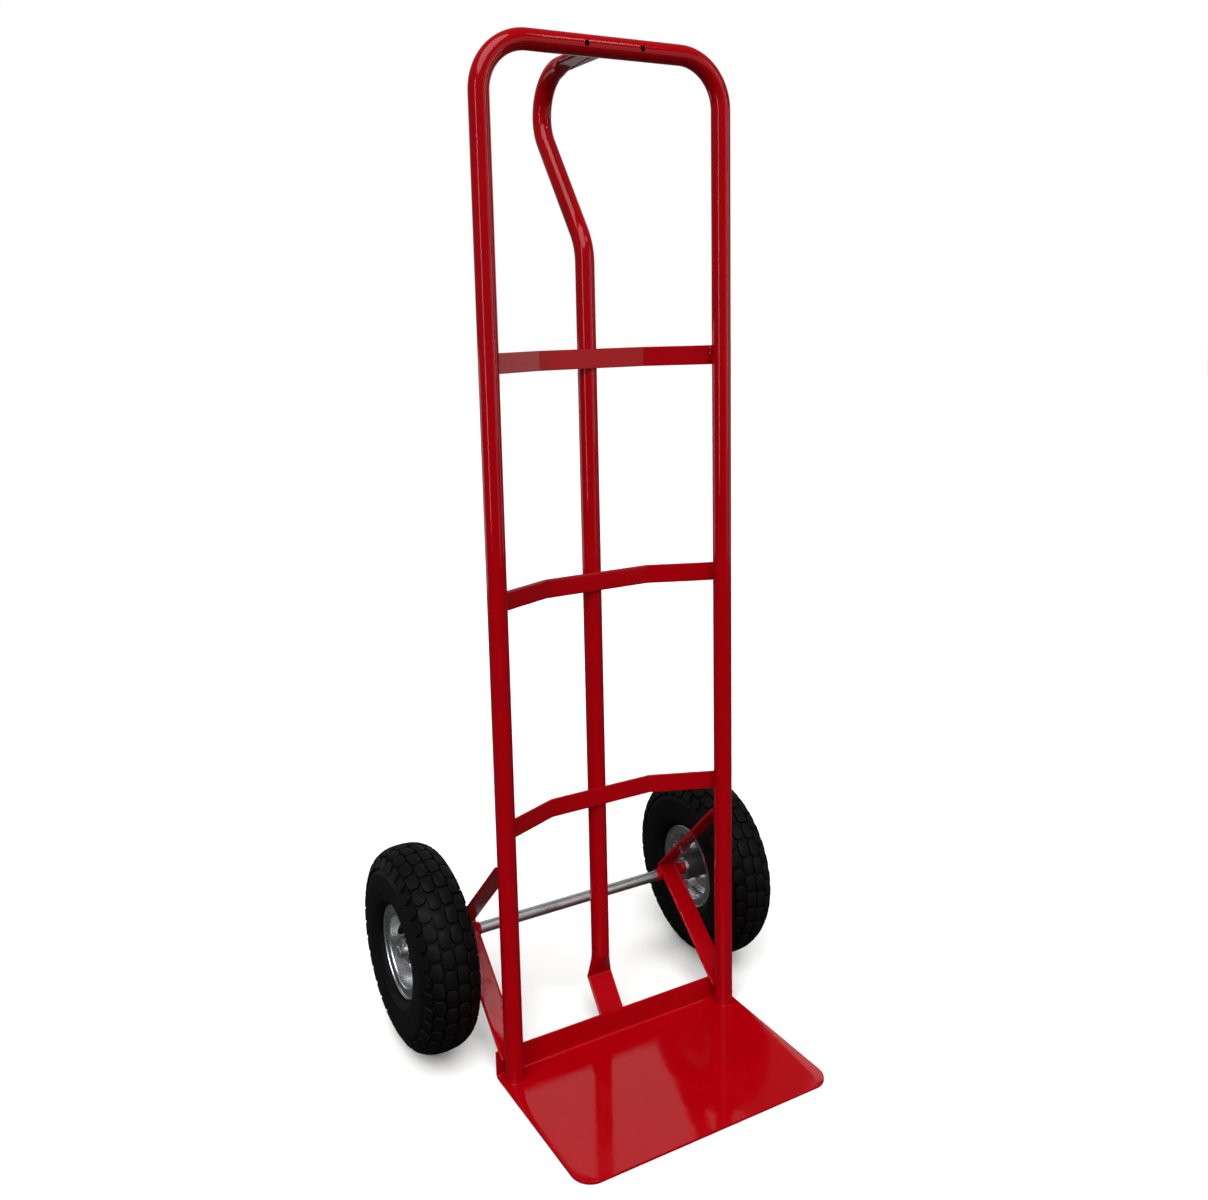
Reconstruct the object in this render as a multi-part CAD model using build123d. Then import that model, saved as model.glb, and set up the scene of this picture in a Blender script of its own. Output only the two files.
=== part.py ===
from build123d import *
import math
import os

# Hand truck with a P-shaped grip. Millimetres, +Z up, the toe plate points to -Y and +X is
# the truck's left-to-right direction seen from its front. The origin is on the floor, midway
# between the two rails, in the plane of the rails' centre lines.

# ---------------------------------------------------------------- driving dimensions

# Frame tube and its drilled top bar
TUBE_OD = 25.4
TUBE_WALL = 2.0
RAIL_SPACING = 340.0
FRAME_HEIGHT = 1335.0
FRAME_BEND_R = 63.0
TOP_HOLE_R = 3.6
TOP_HOLE_SPACING = 78.0
TOP_HOLE_OFFSET = 7.0

# Handle tube: bent back, looped and pressed flat at both ends
HANDLE_LEAN = 35.5
HANDLE_REACH = 174.0
HANDLE_LOOP_R = 57.5
HANDLE_KNEE_R = 70.0
FLAT_WIDTH = 38.6
FOOT_FLAT_T = 4.2
FOOT_BORE_T = 1.0
TOP_FLAT_T = 9.0
FOOT_PRESS_LENGTH = 38.0
TOP_PRESS_LENGTH = 28.0
CREASE_Z = 67.0
TONGUE_END_Z = 8.0
PRESS_OVERLAP = 2.0

# Crossbars
BAR_HEIGHT = 25.4
BAR_T = 3.0
BAR_SETBACK = 5.5
BAR_OFFSET = 42.5
BAR_BEND_X = 78.0
BAR_BEND_R = 6.0
BAR_LOWER_Z = 345.0
BAR_MIDDLE_Z = 650.0
BAR_TOP_DROP = 375.0

# Toe plate
PLATE_T = 3.5
PLATE_REACH = 219.0
PLATE_OVERHANG = 5.8
PLATE_CORNER_R = 27.0
FLANGE_HEIGHT = 38.0
FOLD_R = 3.0

# Axle brackets and sleeves
STRIP_WIDTH = 30.0
STRIP_T = 3.5
STRIP_BEND_R = 4.0
BRACKET_TOP_Z = 296.5
APEX_OVERHANG = 1.5
SLEEVE_OD = 19.0
SLEEVE_LENGTH = 50.0
SLEEVE_SHIFT = 4.0

# Axle, washers and split pins
AXLE_D = 15.9
AXLE_Y = 151.0
AXLE_CHAMFER = 1.2
AXLE_TIP = 9.0
WASHER_OD = 30.0
WASHER_T = 2.0
PIN_D = 3.0
PIN_WIRE_R = 1.2
PIN_PROUD = 2.2
PIN_EYE_R = 3.2
PIN_LEG = 6.0

# Wheels
WHEEL_OD = 282.0
TYRE_WIDTH = 84.0
TYRE_TREAD_T = 14.0
TYRE_WALL_T = 7.0
# Outside and cavity, shoulder to crown: (distance in from the side, depth below the crown)
TYRE_SHOULDER = ((0.0, 40.0), (0.8, 27.0), (6.0, 14.0), (16.0, 5.5), (29.0, 1.2))
CAVITY_SHOULDER = ((0.0, 25.0), (6.0, 9.0), (20.0, 1.5))
# Lower sidewall, outside and cavity: (distance in from the side, height over the rim flange)
TYRE_LOWER = (3.5, 18.0)
CAVITY_LOWER = (3.0, 20.0)
BEAD_FACE_RISE = 1.5
BEAD_TOE = 9.0
BEAD_HEEL = 6.0
BEAD_HEEL_RISE = 8.0
RIM_SEAT_R = 50.8
RIM_FLANGE_R = 65.0
RIM_HALF_WIDTH = 27.0
RIM_SHEET = 2.0
RIM_LIP = 3.2
RIM_LIP_ROLL = 1.5
RIM_LIP_T = 1.0
RIM_WELL_R = 46.0
RIM_WELL_STEP = 6.0
TUBE_SKIN = 2.5
TUBE_FOOT_RISE = 6.0
TUBE_SIDE_GAP = 6.0

# Hubs and bearings
HUB_OD = 38.0
HUB_WALL = 1.5
HUB_INNER = 37.0
HUB_OUTER = 20.0
BEARING_WIDTH = 11.5
BEARING_PROUD = 0.7
BALL_R = 2.2
BALL_COUNT = 8
RACE_GROOVE_R = 2.5
RACE_GAP = 2.6

# Rim bolts
BOLT_CIRCLE_R = 35.0
BOLT_COUNT = 4
BOLT_START_ANGLE = 26.0
BOLT_R = 4.0
HEX_FLATS = 13.0
HEAD_T = 5.3
NUT_T = 6.5
BOLT_TIP = 2.0

# Valve
VALVE_R = 4.2
VALVE_CORE_R = 2.6
VALVE_AXIAL = 13.0
VALVE_ROOT = 7.5
VALVE_LEAN = 18.0
VALVE_BODY = 15.0
VALVE_CORE = 7.0
CAP_R = 4.8
CAP_LENGTH = 12.0
CAP_END_T = 1.6

# Clearances
WELD_GAP = 0.1
RUN_GAP = 0.05
SIDE_GAP = 0.2
SEAT_GAP = 0.4
HOLE_GAP = 0.3
CUT = 1.0

# ---------------------------------------------------------------- derived places

TUBE_R = TUBE_OD / 2
RAIL_X = RAIL_SPACING / 2
TOP_Z = FRAME_HEIGHT - TUBE_R
FLANGE_Y = TUBE_R + FOLD_R
FLANGE_BACK_Y = FLANGE_Y + PLATE_T
PLATE_HALF_WIDTH = RAIL_X + TUBE_R + PLATE_OVERHANG
BAR_BACK_Y = BAR_SETBACK + BAR_OFFSET + BAR_T
HANDLE_Y = BAR_BACK_Y + WELD_GAP + TUBE_R
AXLE_R = AXLE_D / 2
AXLE_Z = WHEEL_OD / 2
SLEEVE_X = RAIL_X + SLEEVE_SHIFT
SLEEVE_END_X = SLEEVE_X + SLEEVE_LENGTH / 2
INNER_WASHER_X = SLEEVE_END_X + WELD_GAP
RING_IN_X = INNER_WASHER_X + WASHER_T + SIDE_GAP
WHEEL_X = RING_IN_X + BEARING_PROUD + HUB_INNER
RING_OUT_X = WHEEL_X + HUB_OUTER + BEARING_PROUD
OUTER_WASHER_X = RING_OUT_X + SIDE_GAP
PIN_X = OUTER_WASHER_X + WASHER_T + SIDE_GAP + PIN_D / 2
AXLE_END_X = OUTER_WASHER_X + WASHER_T + AXLE_TIP
HUB_R = HUB_OD / 2
HUB_BORE_R = HUB_R - HUB_WALL
BEARING_OUTER_R = HUB_BORE_R - WELD_GAP
BEARING_BORE_R = AXLE_R + RUN_GAP
BALL_CIRCLE_R = (BEARING_OUTER_R + BEARING_BORE_R) / 2


# ---------------------------------------------------------------- helpers

def at(y, z):
    """Point in the truck's middle plane."""
    return Vector(0, y, z)


def rod_x(radius, x0, x1, y=AXLE_Y, z=AXLE_Z):
    """Cylinder along X from x0 to x1."""
    plane = Plane(origin=(x0, y, z), x_dir=(0, 1, 0), z_dir=(1, 0, 0))
    return plane * Cylinder(radius, x1 - x0, align=(Align.CENTER, Align.CENTER, Align.MIN))


def ring_x(outer, inner, x0, x1):
    """Plain ring round the axle line from x0 to x1."""
    return rod_x(outer, x0, x1) - rod_x(inner, x0 - CUT, x1 + CUT)


def turned(points, side):
    """Revolve a closed outline of (distance out from the tyre's middle, radius) round the axle.

    side is -1 for the left wheel and +1 for the right one.
    """
    corners = [Vector(side * (WHEEL_X + u), AXLE_Y, AXLE_Z + r) for u, r in points]
    outline = make_face(Polyline(*corners, close=True))
    return revolve(outline, Axis((0, AXLE_Y, AXLE_Z), (1, 0, 0)), 360)


def strip(path_points, bend_r, width, thickness):
    """Flat strip: a rectangle carried along a bent line. Its width lies square to the bends."""
    path = FilletPolyline(*path_points, radius=bend_r)
    start = path @ 0
    along = path % 0
    across = (path_points[1] - path_points[0]).cross(path_points[2] - path_points[1]).normalized()
    section = Plane(origin=start, x_dir=across, z_dir=along) * Rectangle(width, thickness)
    return sweep(section, path=path)


def hexagon_rod(x0, x1, y, z):
    """Hexagonal bar along X with the fasteners' width across flats."""
    plane = Plane(origin=(x0, y, z), x_dir=(0, 1, 0), z_dir=(1, 0, 0))
    return extrude(plane * RegularPolygon(HEX_FLATS / 2, 6, major_radius=False), x1 - x0)


def rail(side, radius):
    """Solid cylinder on one rail's centre line."""
    upright = Cylinder(radius, FRAME_HEIGHT, align=(Align.CENTER, Align.CENTER, Align.MIN))
    return Pos(side * RAIL_X, 0, 0) * upright


# ---------------------------------------------------------------- frame

def make_frame_tube():
    """Inverted U of round tube, standing on the toe plate, with two holes through its top bar."""
    path = FilletPolyline(
        (-RAIL_X, 0, PLATE_T), (-RAIL_X, 0, TOP_Z), (RAIL_X, 0, TOP_Z), (RAIL_X, 0, PLATE_T),
        radius=FRAME_BEND_R,
    )
    wall = Circle(TUBE_R) - Circle(TUBE_R - TUBE_WALL)
    tube = sweep(Plane(origin=path @ 0, z_dir=path % 0) * wall, path=path)
    for side in (-1, 1):
        x = TOP_HOLE_OFFSET + side * TOP_HOLE_SPACING / 2
        tube -= Pos(x, 0, TOP_Z) * Rot(90, 0, 0) * Cylinder(TOP_HOLE_R, TUBE_OD + 2 * CUT)
    return tube


def handle_corners():
    """Corners of the handle tube's centre line, bottom to top, before its bends are rounded."""
    lean = math.radians(HANDLE_LEAN)
    loop_y = HANDLE_REACH - HANDLE_LOOP_R
    peak_y = loop_y + HANDLE_LOOP_R * math.tan((math.pi / 2 + lean) / 2)
    knee_z = TOP_Z - (peak_y - HANDLE_Y) / math.tan(lean)
    return knee_z, peak_y, loop_y


def flat_section(origin, z_dir, thickness):
    """Outline of the tube where it is pressed flat: a slot lying along X."""
    plane = Plane(origin=origin, x_dir=(1, 0, 0), z_dir=z_dir)
    return plane * SlotOverall(FLAT_WIDTH, thickness)


def round_section(origin, z_dir, radius):
    """Round outline of the handle tube on the same kind of plane as flat_section."""
    return Plane(origin=origin, x_dir=(1, 0, 0), z_dir=z_dir) * Circle(radius)


def make_handle_tube():
    """Handle tube: folded foot, straight run, grip loop and a flat end against the top bar."""
    knee_z, peak_y, loop_y = handle_corners()
    press_z = CREASE_Z + FOOT_PRESS_LENGTH
    path = FilletPolyline(
        at(HANDLE_Y, press_z), at(HANDLE_Y, knee_z), at(peak_y, TOP_Z), at(loop_y - CUT, TOP_Z),
        radius=[HANDLE_KNEE_R, HANDLE_LOOP_R],
    )
    wall = Circle(TUBE_R) - Circle(TUBE_R - TUBE_WALL)
    tube = sweep(Plane(origin=path @ 0, x_dir=(1, 0, 0), z_dir=path % 0) * wall, path=path)

    # The foot is pressed against the tube's back, then folded forward to the flange.
    foot_y = HANDLE_Y + TUBE_R - FOOT_FLAT_T / 2
    press = loft([
        flat_section(at(foot_y, CREASE_Z), (0, 0, 1), FOOT_FLAT_T),
        round_section(at(HANDLE_Y, press_z + PRESS_OVERLAP), (0, 0, 1), TUBE_R),
    ])
    press -= loft([
        flat_section(at(foot_y, CREASE_Z + FOOT_FLAT_T), (0, 0, 1), FOOT_BORE_T),
        round_section(at(HANDLE_Y, press_z + PRESS_OVERLAP), (0, 0, 1), TUBE_R - TUBE_WALL),
    ])
    top_y = loop_y - TOP_PRESS_LENGTH
    top_press = loft([
        flat_section(at(top_y, TOP_Z), (0, -1, 0), TOP_FLAT_T),
        round_section(at(loop_y, TOP_Z), (0, -1, 0), TUBE_R),
    ])
    top_press -= loft([
        flat_section(at(top_y, TOP_Z), (0, -1, 0), TOP_FLAT_T - 2 * TUBE_WALL),
        round_section(at(loop_y, TOP_Z), (0, -1, 0), TUBE_R - TUBE_WALL),
    ])
    top_flat = extrude(flat_section(at(top_y, TOP_Z), (0, -1, 0), TOP_FLAT_T), top_y)
    bore_plane = Plane(origin=at(top_y, TOP_Z), x_dir=(1, 0, 0), z_dir=(0, -1, 0))
    bore = SlotOverall(FLAT_WIDTH - 2 * TUBE_WALL, TOP_FLAT_T - 2 * TUBE_WALL)
    top_flat -= extrude(bore_plane * bore, top_y)
    top_flat -= rod_x(TUBE_R + WELD_GAP, -FLAT_WIDTH, FLAT_WIDTH, 0, TOP_Z)
    top_flat = top_flat.solids().sort_by(Axis.Y)[-1]
    return tube + press + make_tongue(foot_y) + top_press + top_flat


def make_tongue(foot_y):
    """Folded foot of the handle tube, running down and forward to the flange's back."""
    front_y = foot_y - FOOT_FLAT_T / 2
    end_y = FLANGE_BACK_Y + WELD_GAP
    slope = math.atan2(CREASE_Z - TONGUE_END_Z, front_y - end_y)
    drop = FOOT_FLAT_T / math.cos(slope)
    side = make_face(Polyline(
        at(front_y, CREASE_Z), at(end_y, TONGUE_END_Z), at(end_y, TONGUE_END_Z - drop),
        at(foot_y + FOOT_FLAT_T / 2, CREASE_Z - FOOT_FLAT_T), at(foot_y + FOOT_FLAT_T / 2, CREASE_Z),
        close=True,
    ))
    return extrude(side, FLAT_WIDTH / 2, dir=(1, 0, 0), both=True)


def make_crossbar(z):
    """Flat bar between the rails, bent back twice to meet the handle tube."""
    end_y = BAR_SETBACK + BAR_T / 2
    mid_y = end_y + BAR_OFFSET
    bar = strip(
        [Vector(-RAIL_X, end_y, z), Vector(-BAR_BEND_X, mid_y, z),
         Vector(BAR_BEND_X, mid_y, z), Vector(RAIL_X, end_y, z)],
        BAR_BEND_R, BAR_HEIGHT, BAR_T,
    )
    for side in (-1, 1):
        bar -= rail(side, TUBE_R + WELD_GAP)
        bar -= Pos(side * (RAIL_X + TUBE_R), 0, z) * Box(TUBE_OD, 2 * TUBE_OD, 2 * BAR_HEIGHT)
    return bar.solids().sort_by(SortBy.VOLUME)[-1]


def make_toe_plate():
    """Flat plate with rounded front corners, folded up behind the rails into a flange."""
    outer_r = FOLD_R + PLATE_T
    fold_y = FLANGE_Y - FOLD_R
    fold_z = PLATE_T + FOLD_R
    sin45 = math.sin(math.pi / 4)
    section = make_face([
        Line(at(-PLATE_REACH, 0), at(fold_y, 0)),
        ThreePointArc(at(fold_y, 0), at(fold_y + outer_r * sin45, fold_z - outer_r * sin45),
                      at(FLANGE_BACK_Y, fold_z)),
        Line(at(FLANGE_BACK_Y, fold_z), at(FLANGE_BACK_Y, FLANGE_HEIGHT)),
        Line(at(FLANGE_BACK_Y, FLANGE_HEIGHT), at(FLANGE_Y, FLANGE_HEIGHT)),
        Line(at(FLANGE_Y, FLANGE_HEIGHT), at(FLANGE_Y, fold_z)),
        ThreePointArc(at(FLANGE_Y, fold_z), at(fold_y + FOLD_R * sin45, fold_z - FOLD_R * sin45),
                      at(fold_y, PLATE_T)),
        Line(at(fold_y, PLATE_T), at(-PLATE_REACH, PLATE_T)),
        Line(at(-PLATE_REACH, PLATE_T), at(-PLATE_REACH, 0)),
    ])
    plate = extrude(section, PLATE_HALF_WIDTH, dir=(1, 0, 0), both=True)
    front = plate.edges().filter_by(Axis.Z).group_by(Axis.Y)[0]
    return fillet(front, PLATE_CORNER_R)


# ---------------------------------------------------------------- axle mounting

def bracket_line():
    """Centre line of the V-shaped strip: under arm end, apex above the axle, upper arm end.

    The lower arm lies on the flange's top back edge and on the sleeve, so its slope is that of
    the line through the edge that just touches the sleeve from above.
    """
    edge_y = FLANGE_BACK_Y
    edge_z = FLANGE_HEIGHT + WELD_GAP
    run = AXLE_Y - edge_y
    rise = AXLE_Z - edge_z
    slope = math.atan2(rise, run) + math.asin((SLEEVE_OD / 2 + WELD_GAP) / math.hypot(run, rise))
    lift = STRIP_T / 2 / math.cos(slope)
    apex_y = AXLE_Y + APEX_OVERHANG
    apex_z = edge_z + (apex_y - edge_y) * math.tan(slope) + lift
    low_z = edge_z + (0 - edge_y) * math.tan(slope) + lift
    high_z = BRACKET_TOP_Z + TUBE_R * (BRACKET_TOP_Z - apex_z) / (apex_y - TUBE_R)
    return (0, low_z), (apex_y, apex_z), (0, high_z)


def make_bracket(side):
    """V-shaped strip from the flange back to the axle and up to the rail, fitted round the rail."""
    corners = [Vector(side * RAIL_X, y, z) for y, z in bracket_line()]
    bracket = strip(corners, STRIP_BEND_R, STRIP_WIDTH, STRIP_T)
    bracket -= rail(side, TUBE_R + WELD_GAP)
    over_plate = Box(2 * STRIP_WIDTH, 2 * FLANGE_BACK_Y + CUT, FLANGE_HEIGHT)
    before_rail = Box(2 * STRIP_WIDTH, 2 * TUBE_OD, TOP_Z)
    bracket -= Pos(side * RAIL_X, 0, FLANGE_HEIGHT / 2) * over_plate
    bracket -= Pos(side * RAIL_X, TUBE_R / 2 - TUBE_OD, TOP_Z / 2) * before_rail
    return bracket.solids().sort_by(SortBy.VOLUME)[-1]


def make_sleeve(side):
    """Short tube round the axle, welded under the bracket's apex."""
    x0 = SLEEVE_X - SLEEVE_LENGTH / 2
    sleeve = ring_x(SLEEVE_OD / 2, AXLE_R + WELD_GAP, x0, SLEEVE_END_X)
    return sleeve if side > 0 else mirror(sleeve, Plane.YZ)


def make_axle():
    """Plain round axle with a drilled hole near each end."""
    axle = rod_x(AXLE_R, -AXLE_END_X, AXLE_END_X)
    axle = chamfer(axle.edges().filter_by(GeomType.CIRCLE), AXLE_CHAMFER)
    for side in (-1, 1):
        hole = Pos(side * PIN_X, AXLE_Y, AXLE_Z) * Cylinder(PIN_D / 2 + WELD_GAP, AXLE_D + 2 * CUT)
        axle -= hole
    return axle


def make_washers():
    """Four flat washers, one each side of each hub."""
    rings = []
    for x0 in (INNER_WASHER_X, OUTER_WASHER_X):
        ring = ring_x(WASHER_OD / 2, AXLE_R + RUN_GAP, x0, x0 + WASHER_T)
        rings += [ring, mirror(ring, Plane.YZ)]
    return rings


def make_split_pin(side):
    """Split pin: eye above the axle, shank through it and one leg turned outwards below."""
    top = AXLE_Z + AXLE_R + PIN_PROUD
    low = AXLE_Z - AXLE_R - PIN_PROUD
    x = side * PIN_X
    upwards = (Align.CENTER, Align.CENTER, Align.MIN)
    shank = Pos(x, AXLE_Y, low) * Cylinder(PIN_D / 2, top - low, align=upwards)
    eye = Pos(x, AXLE_Y, top + PIN_EYE_R) * Rot(0, 90, 0) * Torus(PIN_EYE_R, PIN_WIRE_R)
    leg = Pos(x, AXLE_Y, low) * Rot(0, side * 90, 0) * Cylinder(PIN_WIRE_R, PIN_LEG, align=upwards)
    return shank + eye + leg


# ---------------------------------------------------------------- wheels

def tyre_outside():
    """Tyre outline from bead to tread on the outer side: (distance out, radius)."""
    half = TYRE_WIDTH / 2
    crown = WHEEL_OD / 2
    bead = RIM_HALF_WIDTH - SEAT_GAP
    seat = [
        (bead, RIM_SEAT_R + SEAT_GAP), (bead, RIM_FLANGE_R + SEAT_GAP),
        (RIM_HALF_WIDTH + RIM_LIP, RIM_FLANGE_R + SEAT_GAP + BEAD_FACE_RISE),
        (half - TYRE_LOWER[0], RIM_FLANGE_R + TYRE_LOWER[1]),
    ]
    return seat + [(half - inset, crown - depth) for inset, depth in TYRE_SHOULDER] + [(0, crown)]


def cavity_crown():
    """Radius the depths of the tyre's cavity are measured from."""
    return WHEEL_OD / 2 - TYRE_TREAD_T


def make_tyre(side):
    """Pneumatic tyre: one closed section revolved round the axle."""
    half = TYRE_WIDTH / 2 - TYRE_WALL_T
    outside = tyre_outside()
    cavity = [
        (RIM_HALF_WIDTH - BEAD_TOE, RIM_SEAT_R + SEAT_GAP),
        (RIM_HALF_WIDTH - BEAD_HEEL, RIM_SEAT_R + BEAD_HEEL_RISE),
        (half - CAVITY_LOWER[0], RIM_FLANGE_R + CAVITY_LOWER[1]),
    ]
    cavity += [(half - inset, cavity_crown() - depth) for inset, depth in CAVITY_SHOULDER]
    outer_half = outside[:-1]
    whole = outside + [(-u, r) for u, r in reversed(outer_half)]
    whole += [(-u, r) for u, r in cavity] + list(reversed(cavity))
    return turned(whole, side)


def make_inner_tube(side):
    """Hollow rubber ring that fills the tyre."""
    low = RIM_SEAT_R + TUBE_FOOT_RISE
    high = cavity_crown() - CAVITY_SHOULDER[-1][1] - SEAT_GAP
    centre = Vector(side * WHEEL_X, AXLE_Y, AXLE_Z + (low + high) / 2)
    wide = TYRE_WIDTH / 2 - TYRE_WALL_T - TUBE_SIDE_GAP
    tall = (high - low) / 2
    plane = Plane(origin=centre, x_dir=(1, 0, 0), z_dir=(0, -1, 0))
    section = plane * (Ellipse(wide, tall) - Ellipse(wide - TUBE_SKIN, tall - TUBE_SKIN))
    return revolve(section, Axis((0, AXLE_Y, AXLE_Z), (1, 0, 0)), 360)


def make_rim_half(side, facing):
    """One pressed half of the rim. facing is +1 for the outer half and -1 for the inner one."""
    seat = RIM_SEAT_R
    under_seat = seat - RIM_SHEET
    under_well = RIM_WELL_R - RIM_SHEET
    lip = RIM_HALF_WIDTH + RIM_LIP
    back = RIM_HALF_WIDTH + RIM_SHEET
    outline = [
        (0, HUB_R + WELD_GAP), (0, RIM_WELL_R), (RIM_WELL_STEP, seat), (RIM_HALF_WIDTH, seat),
        (RIM_HALF_WIDTH, RIM_FLANGE_R - RIM_LIP_ROLL), (lip, RIM_FLANGE_R),
        (lip + RIM_LIP_T, RIM_FLANGE_R - RIM_LIP_ROLL), (back, RIM_FLANGE_R - 2 * RIM_LIP_ROLL),
        (back, under_seat), (RIM_WELL_STEP + RIM_LIP_T, under_seat), (RIM_SHEET, under_well),
        (RIM_SHEET, HUB_R + WELD_GAP),
    ]
    half = turned([(facing * u, r) for u, r in outline], side)
    for y, z in bolt_places():
        half -= rod_x(BOLT_R + HOLE_GAP, side * WHEEL_X - TUBE_OD, side * WHEEL_X + TUBE_OD, y, z)
    if facing > 0:
        half -= valve_rod(side, VALVE_R + HOLE_GAP, -TUBE_OD, TUBE_OD)
    return half


def make_hub(side):
    """Hub tube, standing further out on the inner side, bored for a bearing at each end."""
    x0 = WHEEL_X - HUB_INNER
    x1 = WHEEL_X + HUB_OUTER
    hub = ring_x(HUB_R, HUB_BORE_R, x0, x1)
    return hub if side > 0 else mirror(hub, Plane.YZ)


def bearing_spans():
    """Start and end along X of the inner and the outer bearing on the right wheel."""
    return [(RING_IN_X, RING_IN_X + BEARING_WIDTH), (RING_OUT_X - BEARING_WIDTH, RING_OUT_X)]


def race_groove(x0, x1):
    """Ring-shaped cutter for the balls' track in the middle of a bearing."""
    middle = Plane(origin=((x0 + x1) / 2, AXLE_Y, AXLE_Z), z_dir=(1, 0, 0))
    return middle * Torus(BALL_CIRCLE_R, RACE_GROOVE_R)


def make_bearing_rings(side, which):
    """Both bearings' outer or inner rings in one wheel."""
    rings = []
    for x0, x1 in bearing_spans():
        if which == "outer":
            ring = ring_x(BEARING_OUTER_R, BALL_CIRCLE_R + RACE_GAP / 2, x0, x1)
        else:
            ring = ring_x(BALL_CIRCLE_R - RACE_GAP / 2, BEARING_BORE_R, x0, x1)
        ring -= race_groove(x0, x1)
        rings.append(ring if side > 0 else mirror(ring, Plane.YZ))
    return rings


def make_bearing_balls(side):
    """Balls of both bearings in one wheel."""
    balls = []
    for x0, x1 in bearing_spans():
        for i in range(BALL_COUNT):
            turn = 2 * math.pi * i / BALL_COUNT
            y = AXLE_Y + BALL_CIRCLE_R * math.cos(turn)
            z = AXLE_Z + BALL_CIRCLE_R * math.sin(turn)
            balls.append(Pos(side * (x0 + x1) / 2, y, z) * Sphere(BALL_R))
    return balls


def bolt_places():
    """Centres of the rim bolts in the wheel's plane."""
    turns = [math.radians(BOLT_START_ANGLE + i * 360 / BOLT_COUNT) for i in range(BOLT_COUNT)]
    return [(AXLE_Y + BOLT_CIRCLE_R * math.cos(a), AXLE_Z + BOLT_CIRCLE_R * math.sin(a)) for a in turns]


def make_rim_bolts(side):
    """Hexagon bolts from the outer half through to the inner half."""
    bolts = []
    head_x = WHEEL_X + RIM_SHEET
    tip_x = WHEEL_X - RIM_SHEET - NUT_T - BOLT_TIP
    for y, z in bolt_places():
        bolt = hexagon_rod(head_x, head_x + HEAD_T, y, z) + rod_x(BOLT_R, tip_x, head_x + CUT, y, z)
        bolts.append(bolt if side > 0 else mirror(bolt, Plane.YZ))
    return bolts


def make_rim_nuts(side):
    """Hexagon nuts on the inner half's disc."""
    nuts = []
    x1 = WHEEL_X - RIM_SHEET
    for y, z in bolt_places():
        nut = hexagon_rod(x1 - NUT_T, x1, y, z)
        nut -= rod_x(BOLT_R + RUN_GAP, x1 - NUT_T - CUT, x1 + CUT, y, z)
        nuts.append(nut if side > 0 else mirror(nut, Plane.YZ))
    return nuts


def valve_rod(side, radius, start, length):
    """Cylinder on the valve's line, which leans outwards from the rim's seat to the axle.

    start is measured inwards from the rim's seat; a negative one reaches into the tyre.
    """
    lean = math.radians(VALVE_LEAN)
    inward = Vector(side * math.sin(lean), 0, -math.cos(lean))
    seat = Vector(side * (WHEEL_X + VALVE_AXIAL), AXLE_Y, AXLE_Z + RIM_SEAT_R)
    plane = Plane(origin=seat + inward * start, z_dir=inward)
    return plane * Cylinder(radius, length - start, align=(Align.CENTER, Align.CENTER, Align.MIN))


def make_valve_stem(side):
    """Rubber-covered stem with a threaded brass tip, rooted on the inner tube."""
    body = valve_rod(side, VALVE_R, -VALVE_ROOT, VALVE_BODY)
    return body + valve_rod(side, VALVE_CORE_R, VALVE_BODY - CUT, VALVE_BODY + VALVE_CORE)


def make_valve_cap(side):
    """Screw-on dust cap over the stem's tip."""
    cap_start = VALVE_BODY + SIDE_GAP
    cap_end = cap_start + CAP_LENGTH
    cap = valve_rod(side, CAP_R, cap_start, cap_end)
    return cap - valve_rod(side, VALVE_CORE_R + WELD_GAP, cap_start - CUT, cap_end - CAP_END_T)


# ---------------------------------------------------------------- all nodes

def build():
    """Every node by name, each a solid or a list of separate solids."""
    nodes = {
        "frame_tube": make_frame_tube(),
        "handle_tube": make_handle_tube(),
        "crossbar_top": make_crossbar(TOP_Z - BAR_TOP_DROP),
        "crossbar_middle": make_crossbar(BAR_MIDDLE_Z),
        "crossbar_lower": make_crossbar(BAR_LOWER_Z),
        "toe_plate": make_toe_plate(),
        "axle": make_axle(),
        "washers": make_washers(),
        "split_pins": [make_split_pin(-1), make_split_pin(1)],
    }
    for name, side in (("left", -1), ("right", 1)):
        nodes[f"axle_bracket_{name}"] = make_bracket(side)
        nodes[f"axle_sleeve_{name}"] = make_sleeve(side)
        nodes[f"tyre_{name}"] = make_tyre(side)
        nodes[f"inner_tube_{name}"] = make_inner_tube(side)
        nodes[f"rim_outer_{name}"] = make_rim_half(side, 1)
        nodes[f"rim_inner_{name}"] = make_rim_half(side, -1)
        nodes[f"hub_{name}"] = make_hub(side)
        nodes[f"bearing_outer_rings_{name}"] = make_bearing_rings(side, "outer")
        nodes[f"bearing_inner_rings_{name}"] = make_bearing_rings(side, "inner")
        nodes[f"bearing_balls_{name}"] = make_bearing_balls(side)
        nodes[f"rim_bolts_{name}"] = make_rim_bolts(side)
        nodes[f"rim_nuts_{name}"] = make_rim_nuts(side)
        nodes[f"valve_stem_{name}"] = make_valve_stem(side)
        nodes[f"valve_cap_{name}"] = make_valve_cap(side)
    return nodes


os.makedirs("parts", exist_ok=True)
for node, shape in build().items():
    solids = shape if isinstance(shape, list) else [shape]
    export_step(Compound([one for part in solids for one in part.solids()]), f"parts/{node}.step")
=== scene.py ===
import math

import bmesh
import bpy
import numpy as np
from mathutils import Matrix, Vector


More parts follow.
